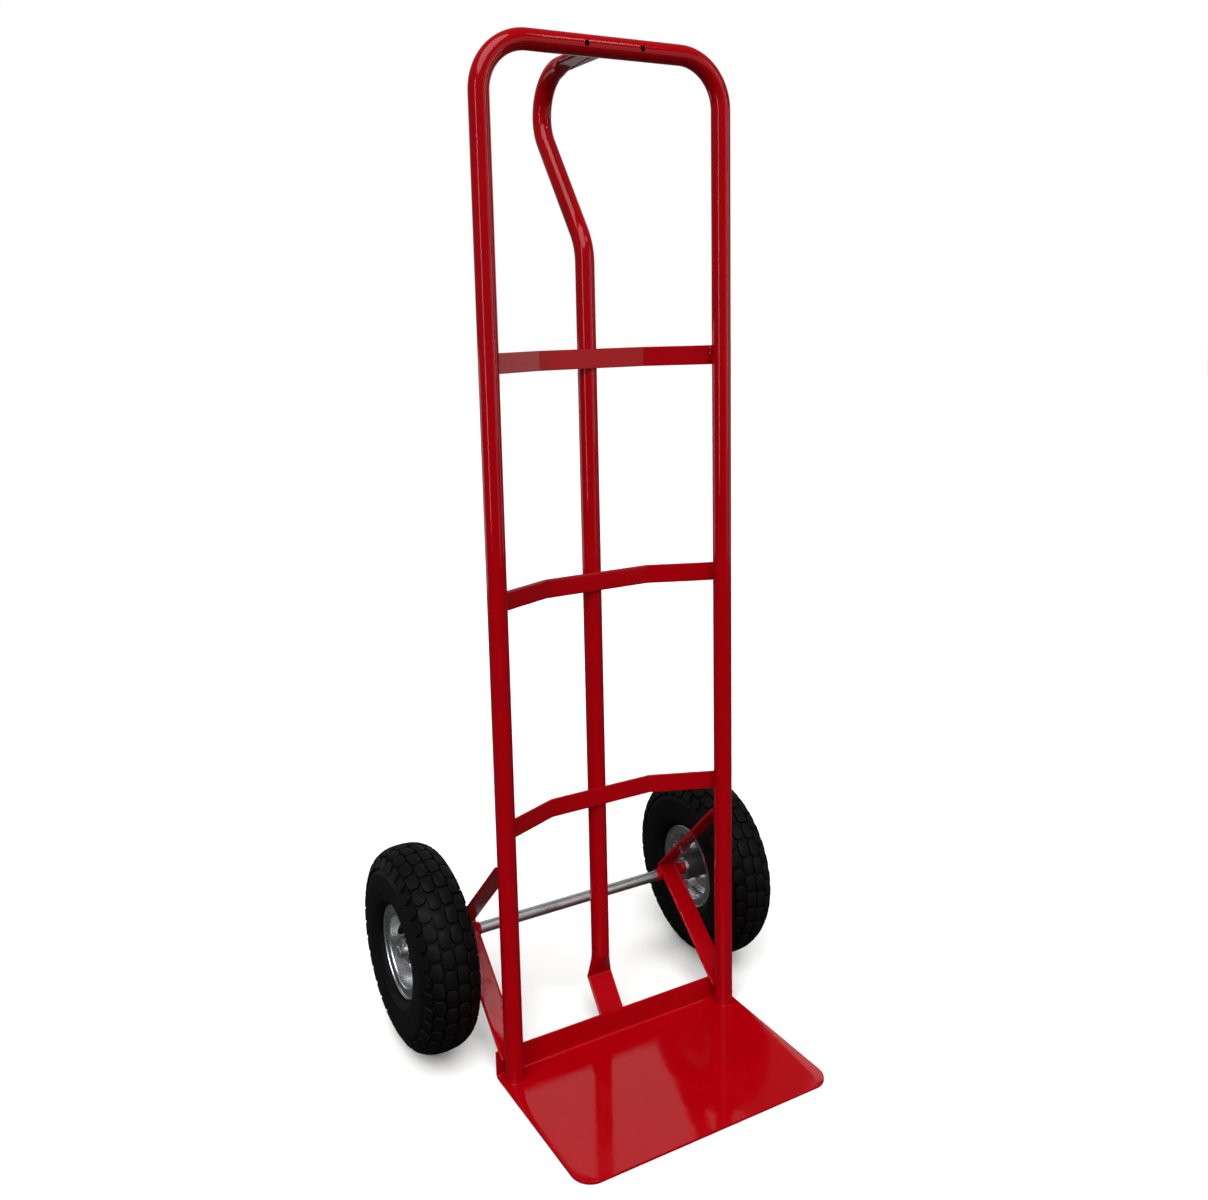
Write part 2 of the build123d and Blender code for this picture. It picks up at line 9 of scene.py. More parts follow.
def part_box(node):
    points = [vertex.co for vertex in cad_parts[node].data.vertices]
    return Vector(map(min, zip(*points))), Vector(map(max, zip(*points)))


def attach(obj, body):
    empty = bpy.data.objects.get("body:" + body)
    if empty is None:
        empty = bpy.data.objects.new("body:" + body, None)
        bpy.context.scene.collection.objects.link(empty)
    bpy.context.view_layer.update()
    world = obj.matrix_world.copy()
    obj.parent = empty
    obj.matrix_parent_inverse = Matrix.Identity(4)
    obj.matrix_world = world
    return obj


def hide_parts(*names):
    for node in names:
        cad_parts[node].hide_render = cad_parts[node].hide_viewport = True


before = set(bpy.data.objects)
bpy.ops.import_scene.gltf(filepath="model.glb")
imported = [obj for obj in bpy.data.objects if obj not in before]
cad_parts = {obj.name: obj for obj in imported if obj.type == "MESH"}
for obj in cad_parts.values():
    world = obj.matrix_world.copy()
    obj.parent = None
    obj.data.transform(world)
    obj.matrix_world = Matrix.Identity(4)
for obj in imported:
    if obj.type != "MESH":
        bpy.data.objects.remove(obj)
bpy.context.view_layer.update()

bl_info = {
    "name": "Hand truck with looped grip",
    "version": (1, 0, 0),
    "blender": (4, 5, 0),
    "location": "3D View > Sidebar > Hand Truck",
    "description": "Builds a tubular steel hand truck piece by piece round its packed frame",
    "category": "Add Mesh",
}

MM = 0.001
FIT = 0.1 * MM  # gap left between pieces that fit together
TINY = 1e-6  # what counts as the same place, in metres
MERGE = 0.004 * MM  # points closer than this become one
LEAST_STEP = 0.2 * MM  # shortest distance between two rings of a swept piece
LEAST_BEND = 0.02  # radians; a corner that bends less is not rounded

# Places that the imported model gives: rails, top bar, floor of the toe plate, axle line, wheels.
TUBE_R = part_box("frame_tube")[1][1]
RAIL_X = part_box("frame_tube")[1][0] - TUBE_R
TOP_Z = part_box("frame_tube")[1][2] - TUBE_R
PLATE_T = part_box("frame_tube")[0][2]
PLATE_LOW, PLATE_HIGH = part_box("toe_plate")
BAR_BACK_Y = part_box("crossbar_middle")[1][1]
HANDLE_Y = BAR_BACK_Y + FIT + TUBE_R
TYRE_LOW, TYRE_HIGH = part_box("tyre_right")
WHEEL_R = (TYRE_HIGH[2] - TYRE_LOW[2]) / 2
TYRE_HALF = (TYRE_HIGH[0] - TYRE_LOW[0]) / 2
WHEEL_X = (TYRE_HIGH[0] + TYRE_LOW[0]) / 2
AXLE_Y = (TYRE_HIGH[1] + TYRE_LOW[1]) / 2
AXLE_Z = (TYRE_HIGH[2] + TYRE_LOW[2]) / 2
AXLE_R = (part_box("axle")[1][2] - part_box("axle")[0][2]) / 2
SIDES = (("left", -1), ("right", 1))
CROSSBARS = ("crossbar_top", "crossbar_middle", "crossbar_lower")

# Sizes that several pieces share.
BAR_T = 3 * MM  # crossbars
SLEEVE_R = 9.5 * MM  # sleeves under the brackets
RIM_SEAT_R = 50.8 * MM  # where the beads sit on the rim
WASHER_T = 2 * MM
WASHER_X = (199.1 * MM, 259.9 * MM)  # inner faces of the washers inside and outside a hub
PATCH = 4  # squares of the tube's grid from a hole's middle to its patch's edge
FINE_OUTLINE = 241  # points of the tyre's outline where blocks and hairs are set on it
HALF_LAG = 0.12  # share of a pitch that the outer half's blocks are ahead of the inner half's


def linear(hex_colour):
    """sRGB hex text to a linear colour with full alpha."""
    raw = np.array([int(hex_colour[i:i + 2], 16) for i in (1, 3, 5)]) / 255
    line = np.where(raw <= 0.04045, raw / 12.92, ((raw + 0.055) / 1.055) ** 2.4)
    return (*[float(v) for v in line], 1.0)


# ---------------------------------------------------------------- sizes and colours

class TruckSizes(bpy.types.PropertyGroup):
    """Sizes that the surfaces are worked out from."""
    frame_bend: bpy.props.FloatProperty(
        name="Frame bend", description="Centre-line radius of the frame tube's two top bends",
        default=63 * MM, unit="LENGTH")
    tube_wall: bpy.props.FloatProperty(
        name="Tube wall", description="Wall of the frame tube", default=2 * MM, unit="LENGTH")
    hole_radius: bpy.props.FloatProperty(
        name="Hole radius", description="Radius of the two holes drilled through the top bar",
        default=3.6 * MM, unit="LENGTH")
    hole_spacing: bpy.props.FloatProperty(
        name="Hole spacing", description="Distance between the top bar's holes",
        default=78 * MM, unit="LENGTH")
    hole_shift: bpy.props.FloatProperty(
        name="Hole shift", description="How far the holes' middle is from the truck's middle",
        default=7 * MM, unit="LENGTH")
    handle_lean: bpy.props.FloatProperty(
        name="Handle lean", description="Lean of the handle's upper run from upright",
        default=math.radians(35.5), subtype="ANGLE")
    loop_radius: bpy.props.FloatProperty(
        name="Loop radius", description="Centre-line radius of the grip loop",
        default=57.5 * MM, unit="LENGTH")
    knee_radius: bpy.props.FloatProperty(
        name="Knee radius", description="Centre-line radius of the bend under the grip",
        default=70 * MM, unit="LENGTH")
    flat_width: bpy.props.FloatProperty(
        name="Flat width", description="Width of the handle tube where it is pressed flat",
        default=38.6 * MM, unit="LENGTH")
    foot_flat: bpy.props.FloatProperty(
        name="Foot thickness", description="Thickness of the handle's pressed foot",
        default=4.2 * MM, unit="LENGTH")
    top_flat: bpy.props.FloatProperty(
        name="Top thickness", description="Thickness of the handle's pressed top end",
        default=9 * MM, unit="LENGTH")
    strip_width: bpy.props.FloatProperty(
        name="Bracket width", description="Width of the axle brackets' strip",
        default=30 * MM, unit="LENGTH")
    tread_depth: bpy.props.FloatProperty(
        name="Tread depth", description="Height of the tread blocks over the tyre's skin",
        default=4.2 * MM, unit="LENGTH")
    tread_pitches: bpy.props.IntProperty(
        name="Tread pitches", description="Number of times the tread repeats round a tyre",
        default=34, min=8, max=90)


class TruckColours(bpy.types.PropertyGroup):
    """Colours of the finishes."""
    enamel: bpy.props.FloatVectorProperty(
        name="Enamel", description="Red stoving enamel on the frame", subtype="COLOR", size=4,
        default=linear("#990009"), min=0, max=1)
    zinc: bpy.props.FloatVectorProperty(
        name="Zinc", description="Zinc plate on the rims, axle and fasteners", subtype="COLOR", size=4,
        default=linear("#C6C7C8"), min=0, max=1)
    rubber: bpy.props.FloatVectorProperty(
        name="Tyre rubber", description="Carbon-filled rubber of the tyres", subtype="COLOR", size=4,
        default=linear("#060606"), min=0, max=1)
    hub: bpy.props.FloatVectorProperty(
        name="Hub steel", description="Dark phosphated steel of the hubs", subtype="COLOR", size=4,
        default=linear("#4A4B4D"), min=0, max=1)


# ---------------------------------------------------------------- surfaces

def grid_faces(rows, columns, wrap_rows=False, wrap_columns=True):
    """Quads of a grid of points stored row by row; a wrapped direction joins its last line to its first."""
    i = np.arange(rows if wrap_rows else rows - 1)
    j = np.arange(columns if wrap_columns else columns - 1)
    a, b = np.meshgrid(i, j, indexing="ij")
    a2 = (a + 1) % rows
    b2 = (b + 1) % columns
    quads = np.stack([a * columns + b, a2 * columns + b, a2 * columns + b2, a * columns + b2], -1)
    return quads.reshape(-1, 4)


def skin(points, closed=False, ends=True):
    """Mesh of a grid of rings. closed joins the last ring to the first; if it is open, ends closes both
    of its ends with one face each."""
    rows, columns = points.shape[:2]
    faces = grid_faces(rows, columns, wrap_rows=closed).tolist()
    if ends and not closed:
        faces.append(list(range(columns)))
        faces.append(list(range((rows - 1) * columns, rows * columns)))
    return points.reshape(-1, 3), faces


def joined(meshes):
    """Several meshes as one list of points and faces."""
    points = []
    faces = []
    start = 0
    for one_points, one_faces in meshes:
        points.append(one_points)
        faces += [[i + start for i in face] for face in one_faces]
        start += len(one_points)
    return np.concatenate(points), faces


def unit(vectors):
    """Vectors scaled to length one."""
    return vectors / np.linalg.norm(vectors, axis=-1, keepdims=True)


def sampled(spots, length, table):
    """Each column of a table, read at new distances between those that it is known at."""
    return np.stack([np.interp(spots, length, column) for column in table.T], 1)


def corner_arc(before, corner, after, radius, least, turn):
    """Arc that touches both sides of a corner: its centre lies inwards by the radius over the cosine of
    half the bend. Returns its points and directions; a corner that hardly bends stays one point."""
    coming = unit(corner - before)
    going = unit(after - corner)
    bend = math.acos(float(np.clip(coming @ going, -1, 1)))
    if radius <= 0 or bend < LEAST_BEND:
        return corner[None], coming[None]
    inward = unit(going - coming)
    mean = unit(coming + going)
    centre = corner + inward * radius / math.cos(bend / 2)
    steps = np.linspace(-0.5, 0.5, max(least, int(bend / turn)) + 1)[:, None] * bend
    points = centre - inward * radius * np.cos(steps) + mean * radius * np.sin(steps)
    return points, mean * np.cos(steps) + inward * np.sin(steps)


def bent_line(corners, radii, turn=math.radians(4)):
    """Line through corners, each inner one rounded by an arc that touches both runs.

    Returns points and unit directions, with an arc point every few degrees.
    """
    corners = np.asarray(corners, float)
    points = [corners[:1]]
    along = [unit(corners[1:2] - corners[:1])]
    for i, radius in enumerate(radii, start=1):
        arc, heading = corner_arc(*corners[i - 1:i + 2], radius, 4, turn)
        points.append(arc)
        along.append(heading)
    points.append(corners[-1:])
    along.append(unit(corners[-1:] - corners[-2:-1]))
    return np.concatenate(points), np.concatenate(along)


def distances(points):
    """Distance along a line at each of its points."""
    return np.concatenate([[0], np.cumsum(np.linalg.norm(np.diff(points, axis=0), axis=1))])


def denser(points, along, extra):
    """The same line with more stations, at the given distances from its start."""
    length = distances(points)
    stations = np.unique(np.round(np.concatenate([length, extra]), 6))
    stations = stations[np.concatenate([[True], np.diff(stations) > LEAST_STEP])]
    return sampled(stations, length, points), unit(sampled(stations, length, along)), stations


def swept(points, along, across, section):
    """Section carried along a line. Each ring is the line's point, plus the section's first number
    times the fixed vector across, plus its second times the direction square to both."""
    across = np.asarray(across, float)
    square = np.cross(along, across)
    section = np.broadcast_to(section, (len(points),) + np.shape(section)[-2:])
    return points[:, None] + section[..., :1] * across + section[..., 1:] * square[:, None]


def ends_and(points, inside):
    """A line's two ends with only those of its points between that lie inside."""
    return np.concatenate([points[:1], points[inside], points[-1:]])


def even_turn(count):
    """Evenly spaced angles of a whole turn."""
    return np.linspace(0, 2 * np.pi, count, endpoint=False)


def circle(radius, count):
    """Points round a circle: radius times cosine and sine of evenly spaced angles."""
    turn = even_turn(count)
    return radius * np.stack([np.cos(turn), np.sin(turn)], 1)


def evenly_round(outline, count):
    """A closed outline sampled at evenly spaced distances round it, from its first point."""
    loop = np.concatenate([outline, outline[:1]])
    length = distances(loop)
    spots = np.linspace(0, length[-1], count, endpoint=False)
    return sampled(spots, length, loop)


def slot_outline(width, thickness, count):
    """Flat-pressed tube: two half circles joined by straight sides, started at its right end."""
    radius = thickness / 2
    middle = 16
    turn = np.linspace(-np.pi / 2, np.pi / 2, 2 * middle + 1)
    right = np.stack([width / 2 - radius + radius * np.cos(turn), radius * np.sin(turn)], 1)
    return evenly_round(np.concatenate([right[middle:], -right, right[:middle]]), count)


def eased_box(width, thickness, ease, across=10):
    """Rectangle with corners rounded by a quarter circle, with points along its long sides."""
    turn = np.linspace(0, np.pi / 2, 4)
    corner = ease * np.stack([np.cos(turn), np.sin(turn)], 1)
    half = np.array([width / 2 - ease, thickness / 2 - ease])
    side = np.linspace(1, -1, across + 1)[1:-1, None]
    top = np.concatenate([side * half[0], np.full((across - 1, 1), thickness / 2)], 1)
    upper = np.concatenate([half + corner, top, half * [-1, 1] + corner[::-1] * [-1, 1]])
    return np.concatenate([upper, -upper])


def rounded_outline(corners, radii):
    """Closed outline whose corners are rounded by arcs that touch both of their sides."""
    corners = np.asarray(corners, float)
    before = np.roll(corners, 1, axis=0)
    after = np.roll(corners, -1, axis=0)
    return np.concatenate([corner_arc(*corner, 2, math.radians(14))[0]
                           for corner in zip(before, corners, after, radii)])


def round_line(x, radius, turn, middle=(AXLE_Y, AXLE_Z)):
    """Points round a line across the truck, the axle's or a bolt's: y and z are the line's place plus
    the radius times cosine and sine of the turn."""
    y = middle[0] + radius * np.cos(turn)
    return np.stack([np.broadcast_to(x, y.shape), y, middle[1] + radius * np.sin(turn)], -1)


def turned(outline, middle_x, count, side=1, closed=True):
    """Outline of (distance out, radius) spun round the axle line: x is the wheel's middle plus the
    distance, and each point goes round at its radius."""
    points = round_line(side * (middle_x + outline[:, :1]), outline[:, 1:], even_turn(count))
    return skin(points, closed=closed, ends=False)


def smooth_step(value, start, end):
    """0 before start, 1 after end, and a cubic ease between them."""
    t = np.clip((value - start) / (end - start), 0, 1)
    return t * t * (3 - 2 * t)


def piece(name, meshes, finish, body, stands_for=(), sharp=32):
    """One finished object: its points are merged, its faces turned outwards and its edges kept sharp
    where they turn by more than the given degrees."""
    points, faces = joined(meshes)
    mesh = bpy.data.meshes.new(name)
    mesh.from_pydata(points.tolist(), [], faces)
    work = bmesh.new()
    work.from_mesh(mesh)
    bmesh.ops.remove_doubles(work, verts=work.verts, dist=MERGE)
    bmesh.ops.recalc_face_normals(work, faces=work.faces)
    work.to_mesh(mesh)
    work.free()
    mesh.polygons.foreach_set("use_smooth", np.ones(len(mesh.polygons), bool))
    mesh.set_sharp_from_angle(angle=math.radians(sharp))
    mesh.materials.append(finish)
    made = bpy.data.objects.new(name, mesh)
    bpy.context.scene.collection.objects.link(made)
    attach(made, body)
    if stands_for:
        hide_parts(*stands_for)


def finish_node(node, material):
    """Gives a CAD node that stays its material."""
    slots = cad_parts[node].data.materials
    slots.clear()
    slots.append(material)


# ---------------------------------------------------------------- finishes

def add_node(tree, kind, settings=(), **sockets):
    """Adds a node: settings are its own properties, sockets its inputs, each a value or an output to link.

    An input is named with underscores for spaces, or as in_0 for its place in the list.
    """
    made = tree.nodes.new(kind)
    for key, value in dict(settings).items():
        setattr(made, key, value)
    for key, value in sockets.items():
        socket = made.inputs[int(key[3:])] if key.startswith("in_") else made.inputs[key.replace("_", " ")]
        if isinstance(value, bpy.types.NodeSocket):
            tree.links.new(value, socket)
        else:
            socket.default_value = value
    return made


def new_finish(name):
    """Empty material with its output and the object's own coordinates in metres."""
    material = bpy.data.materials.get(name)
    if material:
        return material, None, None
    material = bpy.data.materials.new(name)
    material.use_nodes = True
    material.node_tree.nodes.clear()
    place = add_node(material.node_tree, "ShaderNodeTexCoord").outputs["Object"]
    return material, material.node_tree, place


def to_output(tree, shader):
    """Links a shader to the material's output."""
    add_node(tree, "ShaderNodeOutputMaterial", Surface=shader.outputs[0])


def tinted(tree, colour, low, high, amount):
    """Colour times a brightness between low and high, as amount goes from 0 to 1."""
    level = add_node(tree, "ShaderNodeMapRange", Value=amount, To_Min=low, To_Max=high)
    return add_node(tree, "ShaderNodeVectorMath", {"operation": "SCALE"}, in_0=colour[:3],
                    Scale=level.outputs[0]).outputs[0]


def stoving_enamel(name="stoving_enamel_red", rough=0.0):
    """Glossy red stoving enamel, sprayed: a wet-looking film with a slight orange peel 2.6 mm apart on
    waves of 14 mm, thinner and darker in patches of 60 mm, with a few dust nibs. rough adds runs."""
    material, tree, place = new_finish(name)
    if tree is None:
        return material
    colour = bpy.context.scene.truck_colours.enamel
    peel = add_node(tree, "ShaderNodeTexNoise", Vector=place, Scale=1 / (2.6 * MM), Detail=2.0)
    waves = add_node(tree, "ShaderNodeTexNoise", Vector=place, Scale=1 / (14 * MM), Detail=1.0)
    film = add_node(tree, "ShaderNodeTexNoise", Vector=place, Scale=1 / (60 * MM), Detail=3.0)
    nibs = add_node(tree, "ShaderNodeTexVoronoi", Vector=place, Scale=1 / (9 * MM))
    nib = add_node(tree, "ShaderNodeMapRange", Value=nibs.outputs["Distance"], From_Min=0.03,
                   From_Max=0.07, To_Min=1.0, To_Max=0.0)
    peel_bump = add_node(tree, "ShaderNodeBump", Height=peel.outputs[0], Distance=(0.035 + rough / 2) * MM,
                         Strength=0.6)
    wave_bump = add_node(tree, "ShaderNodeBump", Height=waves.outputs[0], Distance=(0.14 + rough) * MM,
                         Strength=0.6, Normal=peel_bump.outputs[0])
    nib_bump = add_node(tree, "ShaderNodeBump", Height=nib.outputs[0], Distance=0.12 * MM,
                        Strength=0.35, Normal=wave_bump.outputs[0])
    gloss = add_node(tree, "ShaderNodeMapRange", Value=film.outputs[0], From_Min=0.3, From_Max=0.7,
                     To_Min=0.05, To_Max=0.11)
    shader = add_node(
        tree, "ShaderNodeBsdfPrincipled", Base_Color=tinted(tree, colour, 0.86, 1.08, film.outputs[0]),
        Roughness=gloss.outputs[0], IOR=1.5, Specular_IOR_Level=0.19,
        Normal=nib_bump.outputs[0])
    to_output(tree, shader)
    return material


def zinc_plate(name, drawn=(1, 1, 1), rough=(0.26, 0.42), shade=1.0, spangle=11):
    """Bright zinc electroplate on steel: grey metal with a cloudy passivated bloom. drawn stretches
    the lines that drawing or spinning leaves, along one axis of the truck. They are 2.4 mm apart, far
    coarser than real ones, so that they show."""
    material, tree, place = new_finish(name)
    if tree is None:
        return material
    colour = [c * shade for c in bpy.context.scene.truck_colours.zinc[:3]]
    stretched = add_node(tree, "ShaderNodeMapping", Vector=place, Scale=drawn)
    lines = add_node(tree, "ShaderNodeTexNoise", Vector=stretched.outputs[0], Scale=1 / (2.4 * MM),
                     Detail=2.0)
    bloom = add_node(tree, "ShaderNodeTexNoise", Vector=place, Scale=1 / (spangle * MM), Detail=4.0)
    both = add_node(tree, "ShaderNodeMath", {"operation": "MULTIPLY"}, in_0=lines.outputs[0],
                    in_1=bloom.outputs[0])
    bump = add_node(tree, "ShaderNodeBump", Height=lines.outputs[0], Distance=0.02 * MM, Strength=0.3)
    level = add_node(tree, "ShaderNodeMapRange", Value=both.outputs[0], From_Min=0.1, From_Max=0.42,
                     To_Min=rough[0], To_Max=rough[1])
    tint = add_node(tree, "ShaderNodeMapRange", Value=both.outputs[0], From_Min=0.1, From_Max=0.42)
    shader = add_node(tree, "ShaderNodeBsdfPrincipled",
                      Base_Color=tinted(tree, colour, 0.86, 1.03, tint.outputs[0]),
                      Metallic=1.0, Roughness=level.outputs[0], Normal=bump.outputs[0])
    to_output(tree, shader)
    return material


def fastener_plate():
    """The zinc of small fasteners: a little duller and more closely clouded than the rims'."""
    return zinc_plate("zinc_plated_fasteners", rough=(0.22, 0.4), shade=0.95, spangle=6)


def phosphated_steel():
    """Dark phosphated steel tube: matt grey-black with a crystal grain and faint handling marks. Real
    crystals are finer than the 0.9 mm here, which is as coarse as they need to be to show."""
    material, tree, place = new_finish("phosphated_steel")
    if tree is None:
        return material
    colour = bpy.context.scene.truck_colours.hub
    grain = add_node(tree, "ShaderNodeTexNoise", Vector=place, Scale=1 / (0.9 * MM), Detail=3.0)
    marks = add_node(tree, "ShaderNodeTexNoise", Vector=place, Scale=1 / (12 * MM), Detail=5.0)
    bump = add_node(tree, "ShaderNodeBump", Height=grain.outputs[0], Distance=0.04 * MM, Strength=0.4)
    gloss = add_node(tree, "ShaderNodeMapRange", Value=marks.outputs[0], To_Min=0.34, To_Max=0.62)
    shader = add_node(tree, "ShaderNodeBsdfPrincipled",
                      Base_Color=tinted(tree, colour, 0.7, 1.25, marks.outputs[0]),
                      Metallic=0.75, Roughness=gloss.outputs[0], Normal=bump.outputs[0])
    to_output(tree, shader)
    return material


def vulcanised_rubber(name="vulcanised_tyre_rubber", grain=1.8, shade=1.0, rough=(0.5, 0.72)):
    """Carbon-filled rubber from a steel mould: near black with a soft sheen, a mould grain and slightly
    bloomed, greyer patches. grain is in millimetres, coarser than a real mould's so that it shows."""
    material, tree, place = new_finish(name)
    if tree is None:
        return material
    colour = [c * shade for c in bpy.context.scene.truck_colours.rubber[:3]]
    fine = add_node(tree, "ShaderNodeTexNoise", Vector=place, Scale=1 / (grain * MM), Detail=3.0)
    bloom = add_node(tree, "ShaderNodeTexNoise", Vector=place, Scale=1 / (25 * MM), Detail=4.0)
    bump = add_node(tree, "ShaderNodeBump", Height=fine.outputs[0], Distance=0.08 * MM, Strength=0.5)
    gloss = add_node(tree, "ShaderNodeMapRange", Value=bloom.outputs[0], From_Min=0.3, From_Max=0.7,
                     To_Min=rough[0], To_Max=rough[1])
    shader = add_node(tree, "ShaderNodeBsdfPrincipled",
                      Base_Color=tinted(tree, colour, 0.75, 1.4, bloom.outputs[0]),
                      Roughness=gloss.outputs[0], IOR=1.52, Specular_IOR_Level=0.08,
                      Normal=bump.outputs[0])
    to_output(tree, shader)
    return material


# ---------------------------------------------------------------- frame surfaces

def red_piece(name, mesh, *nodes, finish=None):
    """A piece of the frame in red enamel, in place of the CAD nodes named."""
    piece(name, [mesh], finish or stoving_enamel(), "frame", nodes)


def wheel_piece(name, meshes, finish, side_name, node, sharp=32):
    """A piece that turns with one wheel. Its name and its CAD node's both end with the wheel's side."""
    piece(f"{name}_{side_name}", meshes, finish, f"wheel_{side_name}", [f"{node}_{side_name}"], sharp)


def frame_tube_mesh(sizes):
    """Inverted U of tube, outside and inside, with two holes drilled through its top bar.

    Each wall is a circle carried round the bent line. Round a hole, a square patch of it is replaced by
    rings that go from the square to the hole's circle, each point at its own height on the tube.
    """
    count = 48
    walls = (TUBE_R, TUBE_R - sizes.tube_wall)
    path, along = bent_line(
        [(-RAIL_X, 0, PLATE_T), (-RAIL_X, 0, TOP_Z), (RAIL_X, 0, TOP_Z), (RAIL_X, 0, PLATE_T)],
        [sizes.frame_bend] * 2)
    start = distances(path)[np.argmax(path[:, 0] > -RAIL_X + sizes.frame_bend - TINY)]
    patch = TUBE_R * math.sin(PATCH * 2 * math.pi / count)
    hole_x = [sizes.hole_shift + s * sizes.hole_spacing / 2 for s in (-1, 1)]
    extra = [start + x + RAIL_X - sizes.frame_bend + patch * k / PATCH
             for x in hole_x for k in range(-PATCH, PATCH + 1)]
    path, along, _ = denser(path, along, extra)
    on_bar = np.abs(path[:, 2] - TOP_Z) < TINY
    meshes = []
    rims = []
    for radius in walls:
        rings = swept(path, along, (0, 1, 0), circle(radius, count))
        quads = grid_faces(len(path), count)
        keep = np.ones((len(path) - 1, count), bool)
        for x in hole_x:
            row = int(np.argmin(np.where(on_bar, np.abs(path[:, 0] - x), np.inf)))
            for middle in (0, count // 2):
                columns = np.arange(middle - PATCH, middle + PATCH) % count
                keep[row - PATCH:row + PATCH, columns] = False
                mesh, rim = hole_patch(patch_edge(rings, row, middle), x, radius, sizes.hole_radius)
                meshes.append(mesh)
                rims.append(rim)
        meshes.append((rings.reshape(-1, 3), quads[keep.ravel()].tolist()))
    half = len(rims) // 2
    for outer, inner in zip(rims[:half], rims[half:]):
        meshes.append(skin(np.stack([outer, inner]), ends=False))
    for ring in (0, -1):
        ends = [swept(path[[ring]], along[[ring]], (0, 1, 0), circle(radius, count)) for radius in walls]
        meshes.append(skin(np.concatenate(ends), ends=False))
    return joined(meshes)


def patch_edge(rings, row, middle):
    """Points of the tube's grid round a square patch, in order."""
    side = np.arange(-PATCH, PATCH)
    far = np.full(2 * PATCH, PATCH)
    rows = np.concatenate([side, far, -side, -far]) + row
    columns = np.concatenate([-far, side, far, -side]) + middle
    return rings[rows, columns % rings.shape[1]]


def hole_patch(edge, x, radius, hole):
    """Rings from a square patch's edge to the round hole, on a tube of that radius along X."""
    angle = np.arctan2(edge[:, 2] - TOP_Z, edge[:, 0] - x)
    rim = np.stack([x + hole * np.cos(angle), TOP_Z + hole * np.sin(angle)], 1)
    share = np.linspace(0, 1, 4)[:, None, None]
    flat = edge[None, :, [0, 2]] * (1 - share) + rim[None] * share
    deep = np.sign(edge[0, 1]) * np.sqrt(radius ** 2 - (flat[..., 1] - TOP_Z) ** 2)
    rings = np.stack([flat[..., 0], deep, flat[..., 1]], -1)
    return skin(rings, ends=False), rings[-1]


def handle_mesh(sizes):
    """Handle tube: foot folded forward, straight run, knee, grip loop and a flat end at the top bar.

    The section goes from a circle to a slot outline of the same pressing. At the foot it slides back by
    half of what the pressing takes off the radius, and at the top up by a fifth of it. The top end is
    pressed from below before it is pressed from above, is dished in its middle by a parabola, and has a
    V-shaped crease that runs outwards down the slope.
    """
    count = 128
    lean = sizes.handle_lean
    loop_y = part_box("handle_tube")[1][1] - TUBE_R - sizes.loop_radius
    peak_y = loop_y + sizes.loop_radius * math.tan((math.pi / 2 + lean) / 2)
    knee_z = TOP_Z - (peak_y - HANDLE_Y) / math.tan(lean)
    end_y = TUBE_R - 2 * MM
    shift = (TUBE_R - sizes.foot_flat / 2) / 2
    toe_y = PLATE_HIGH[1] + 0.05 * MM
    toe = np.array([0, toe_y - shift, 4.8 * MM])
    fold = np.array([0, HANDLE_Y, 66.2 * MM])
    path, along = bent_line([toe, fold, (0, HANDLE_Y, knee_z), (0, peak_y, TOP_Z), (0, end_y, TOP_Z)],
                            [5.5 * MM, sizes.knee_radius, sizes.loop_radius])
    whole = distances(path)[-1]
    folded = np.linalg.norm(fold - toe)
    path, along, far = denser(path, along, np.concatenate([
        folded + np.linspace(0, 52 * MM, 18), whole - np.linspace(0, 150 * MM, 50),
        np.linspace(folded, whole - 200 * MM, 40)]))
    left = whole - far[:, None]

    # How far the pressing has gone at each station, 0 for round and 1 for flat, at the foot and the top.
    tube = circle(TUBE_R, count)
    foot = 1 - np.clip((far - folded - 1 * MM) / (33 * MM), 0, 1)[:, None]
    under = 1 - smooth_step(tube[:, 1] / TUBE_R, -0.1, 0.6)
    press_start = 62 * MM + under * (36 * MM + 8 * MM * tube[:, 0] / TUBE_R)
    top = smooth_step(left, press_start + 16 * MM, press_start - 14 * MM)
    section = (tube * (1 - foot - top)[..., None]
               + slot_outline(sizes.flat_width, sizes.foot_flat, count) * foot[..., None]
               + slot_outline(sizes.flat_width, sizes.top_flat, count) * top[..., None])

    # The dish of the top end, its crease and its slide.
    dish = np.clip(1 - (section[..., 0] / (sizes.flat_width / 2 - 5 * MM)) ** 2, 0, 1)
    section[..., 1] -= top * dish * np.sign(section[..., 1]) * 0.4 * MM
    crease_x = np.interp(left, [47 * MM, 104 * MM], [3 * MM, 12 * MM])
    crease = np.clip(1 - np.abs(section[..., 0] - crease_x) / (2.4 * MM), 0, 1)
    crease = crease * (section[..., 1] < 0) * smooth_step(left, 118 * MM, 98 * MM)
    section[..., 1] += crease * 0.9 * MM + top * 0.2 * (TUBE_R - sizes.top_flat / 2)

    rings = swept(path, along, (1, 0, 0), section)
    rings[..., 1] += foot * shift
    first, last = rings[0], rings[-1]
    first += ((toe_y - first[:, 1]) / along[0, 1])[:, None] * along[0]
    last[:, 1] = np.sqrt(np.clip((TUBE_R - FIT) ** 2 - (last[:, 2] - TOP_Z) ** 2, 0, 1))
    return skin(rings)


def rail_side(y):
    """How far out the round inner side of a rail lies at each depth: the rail's place less the square
    root of its radius squared less the depth squared, a little sunk in."""
    sunk = TUBE_R - 0.05 * MM
    return RAIL_X - np.sqrt(sunk ** 2 - np.clip(y, 0, TUBE_R * 0.95) ** 2)


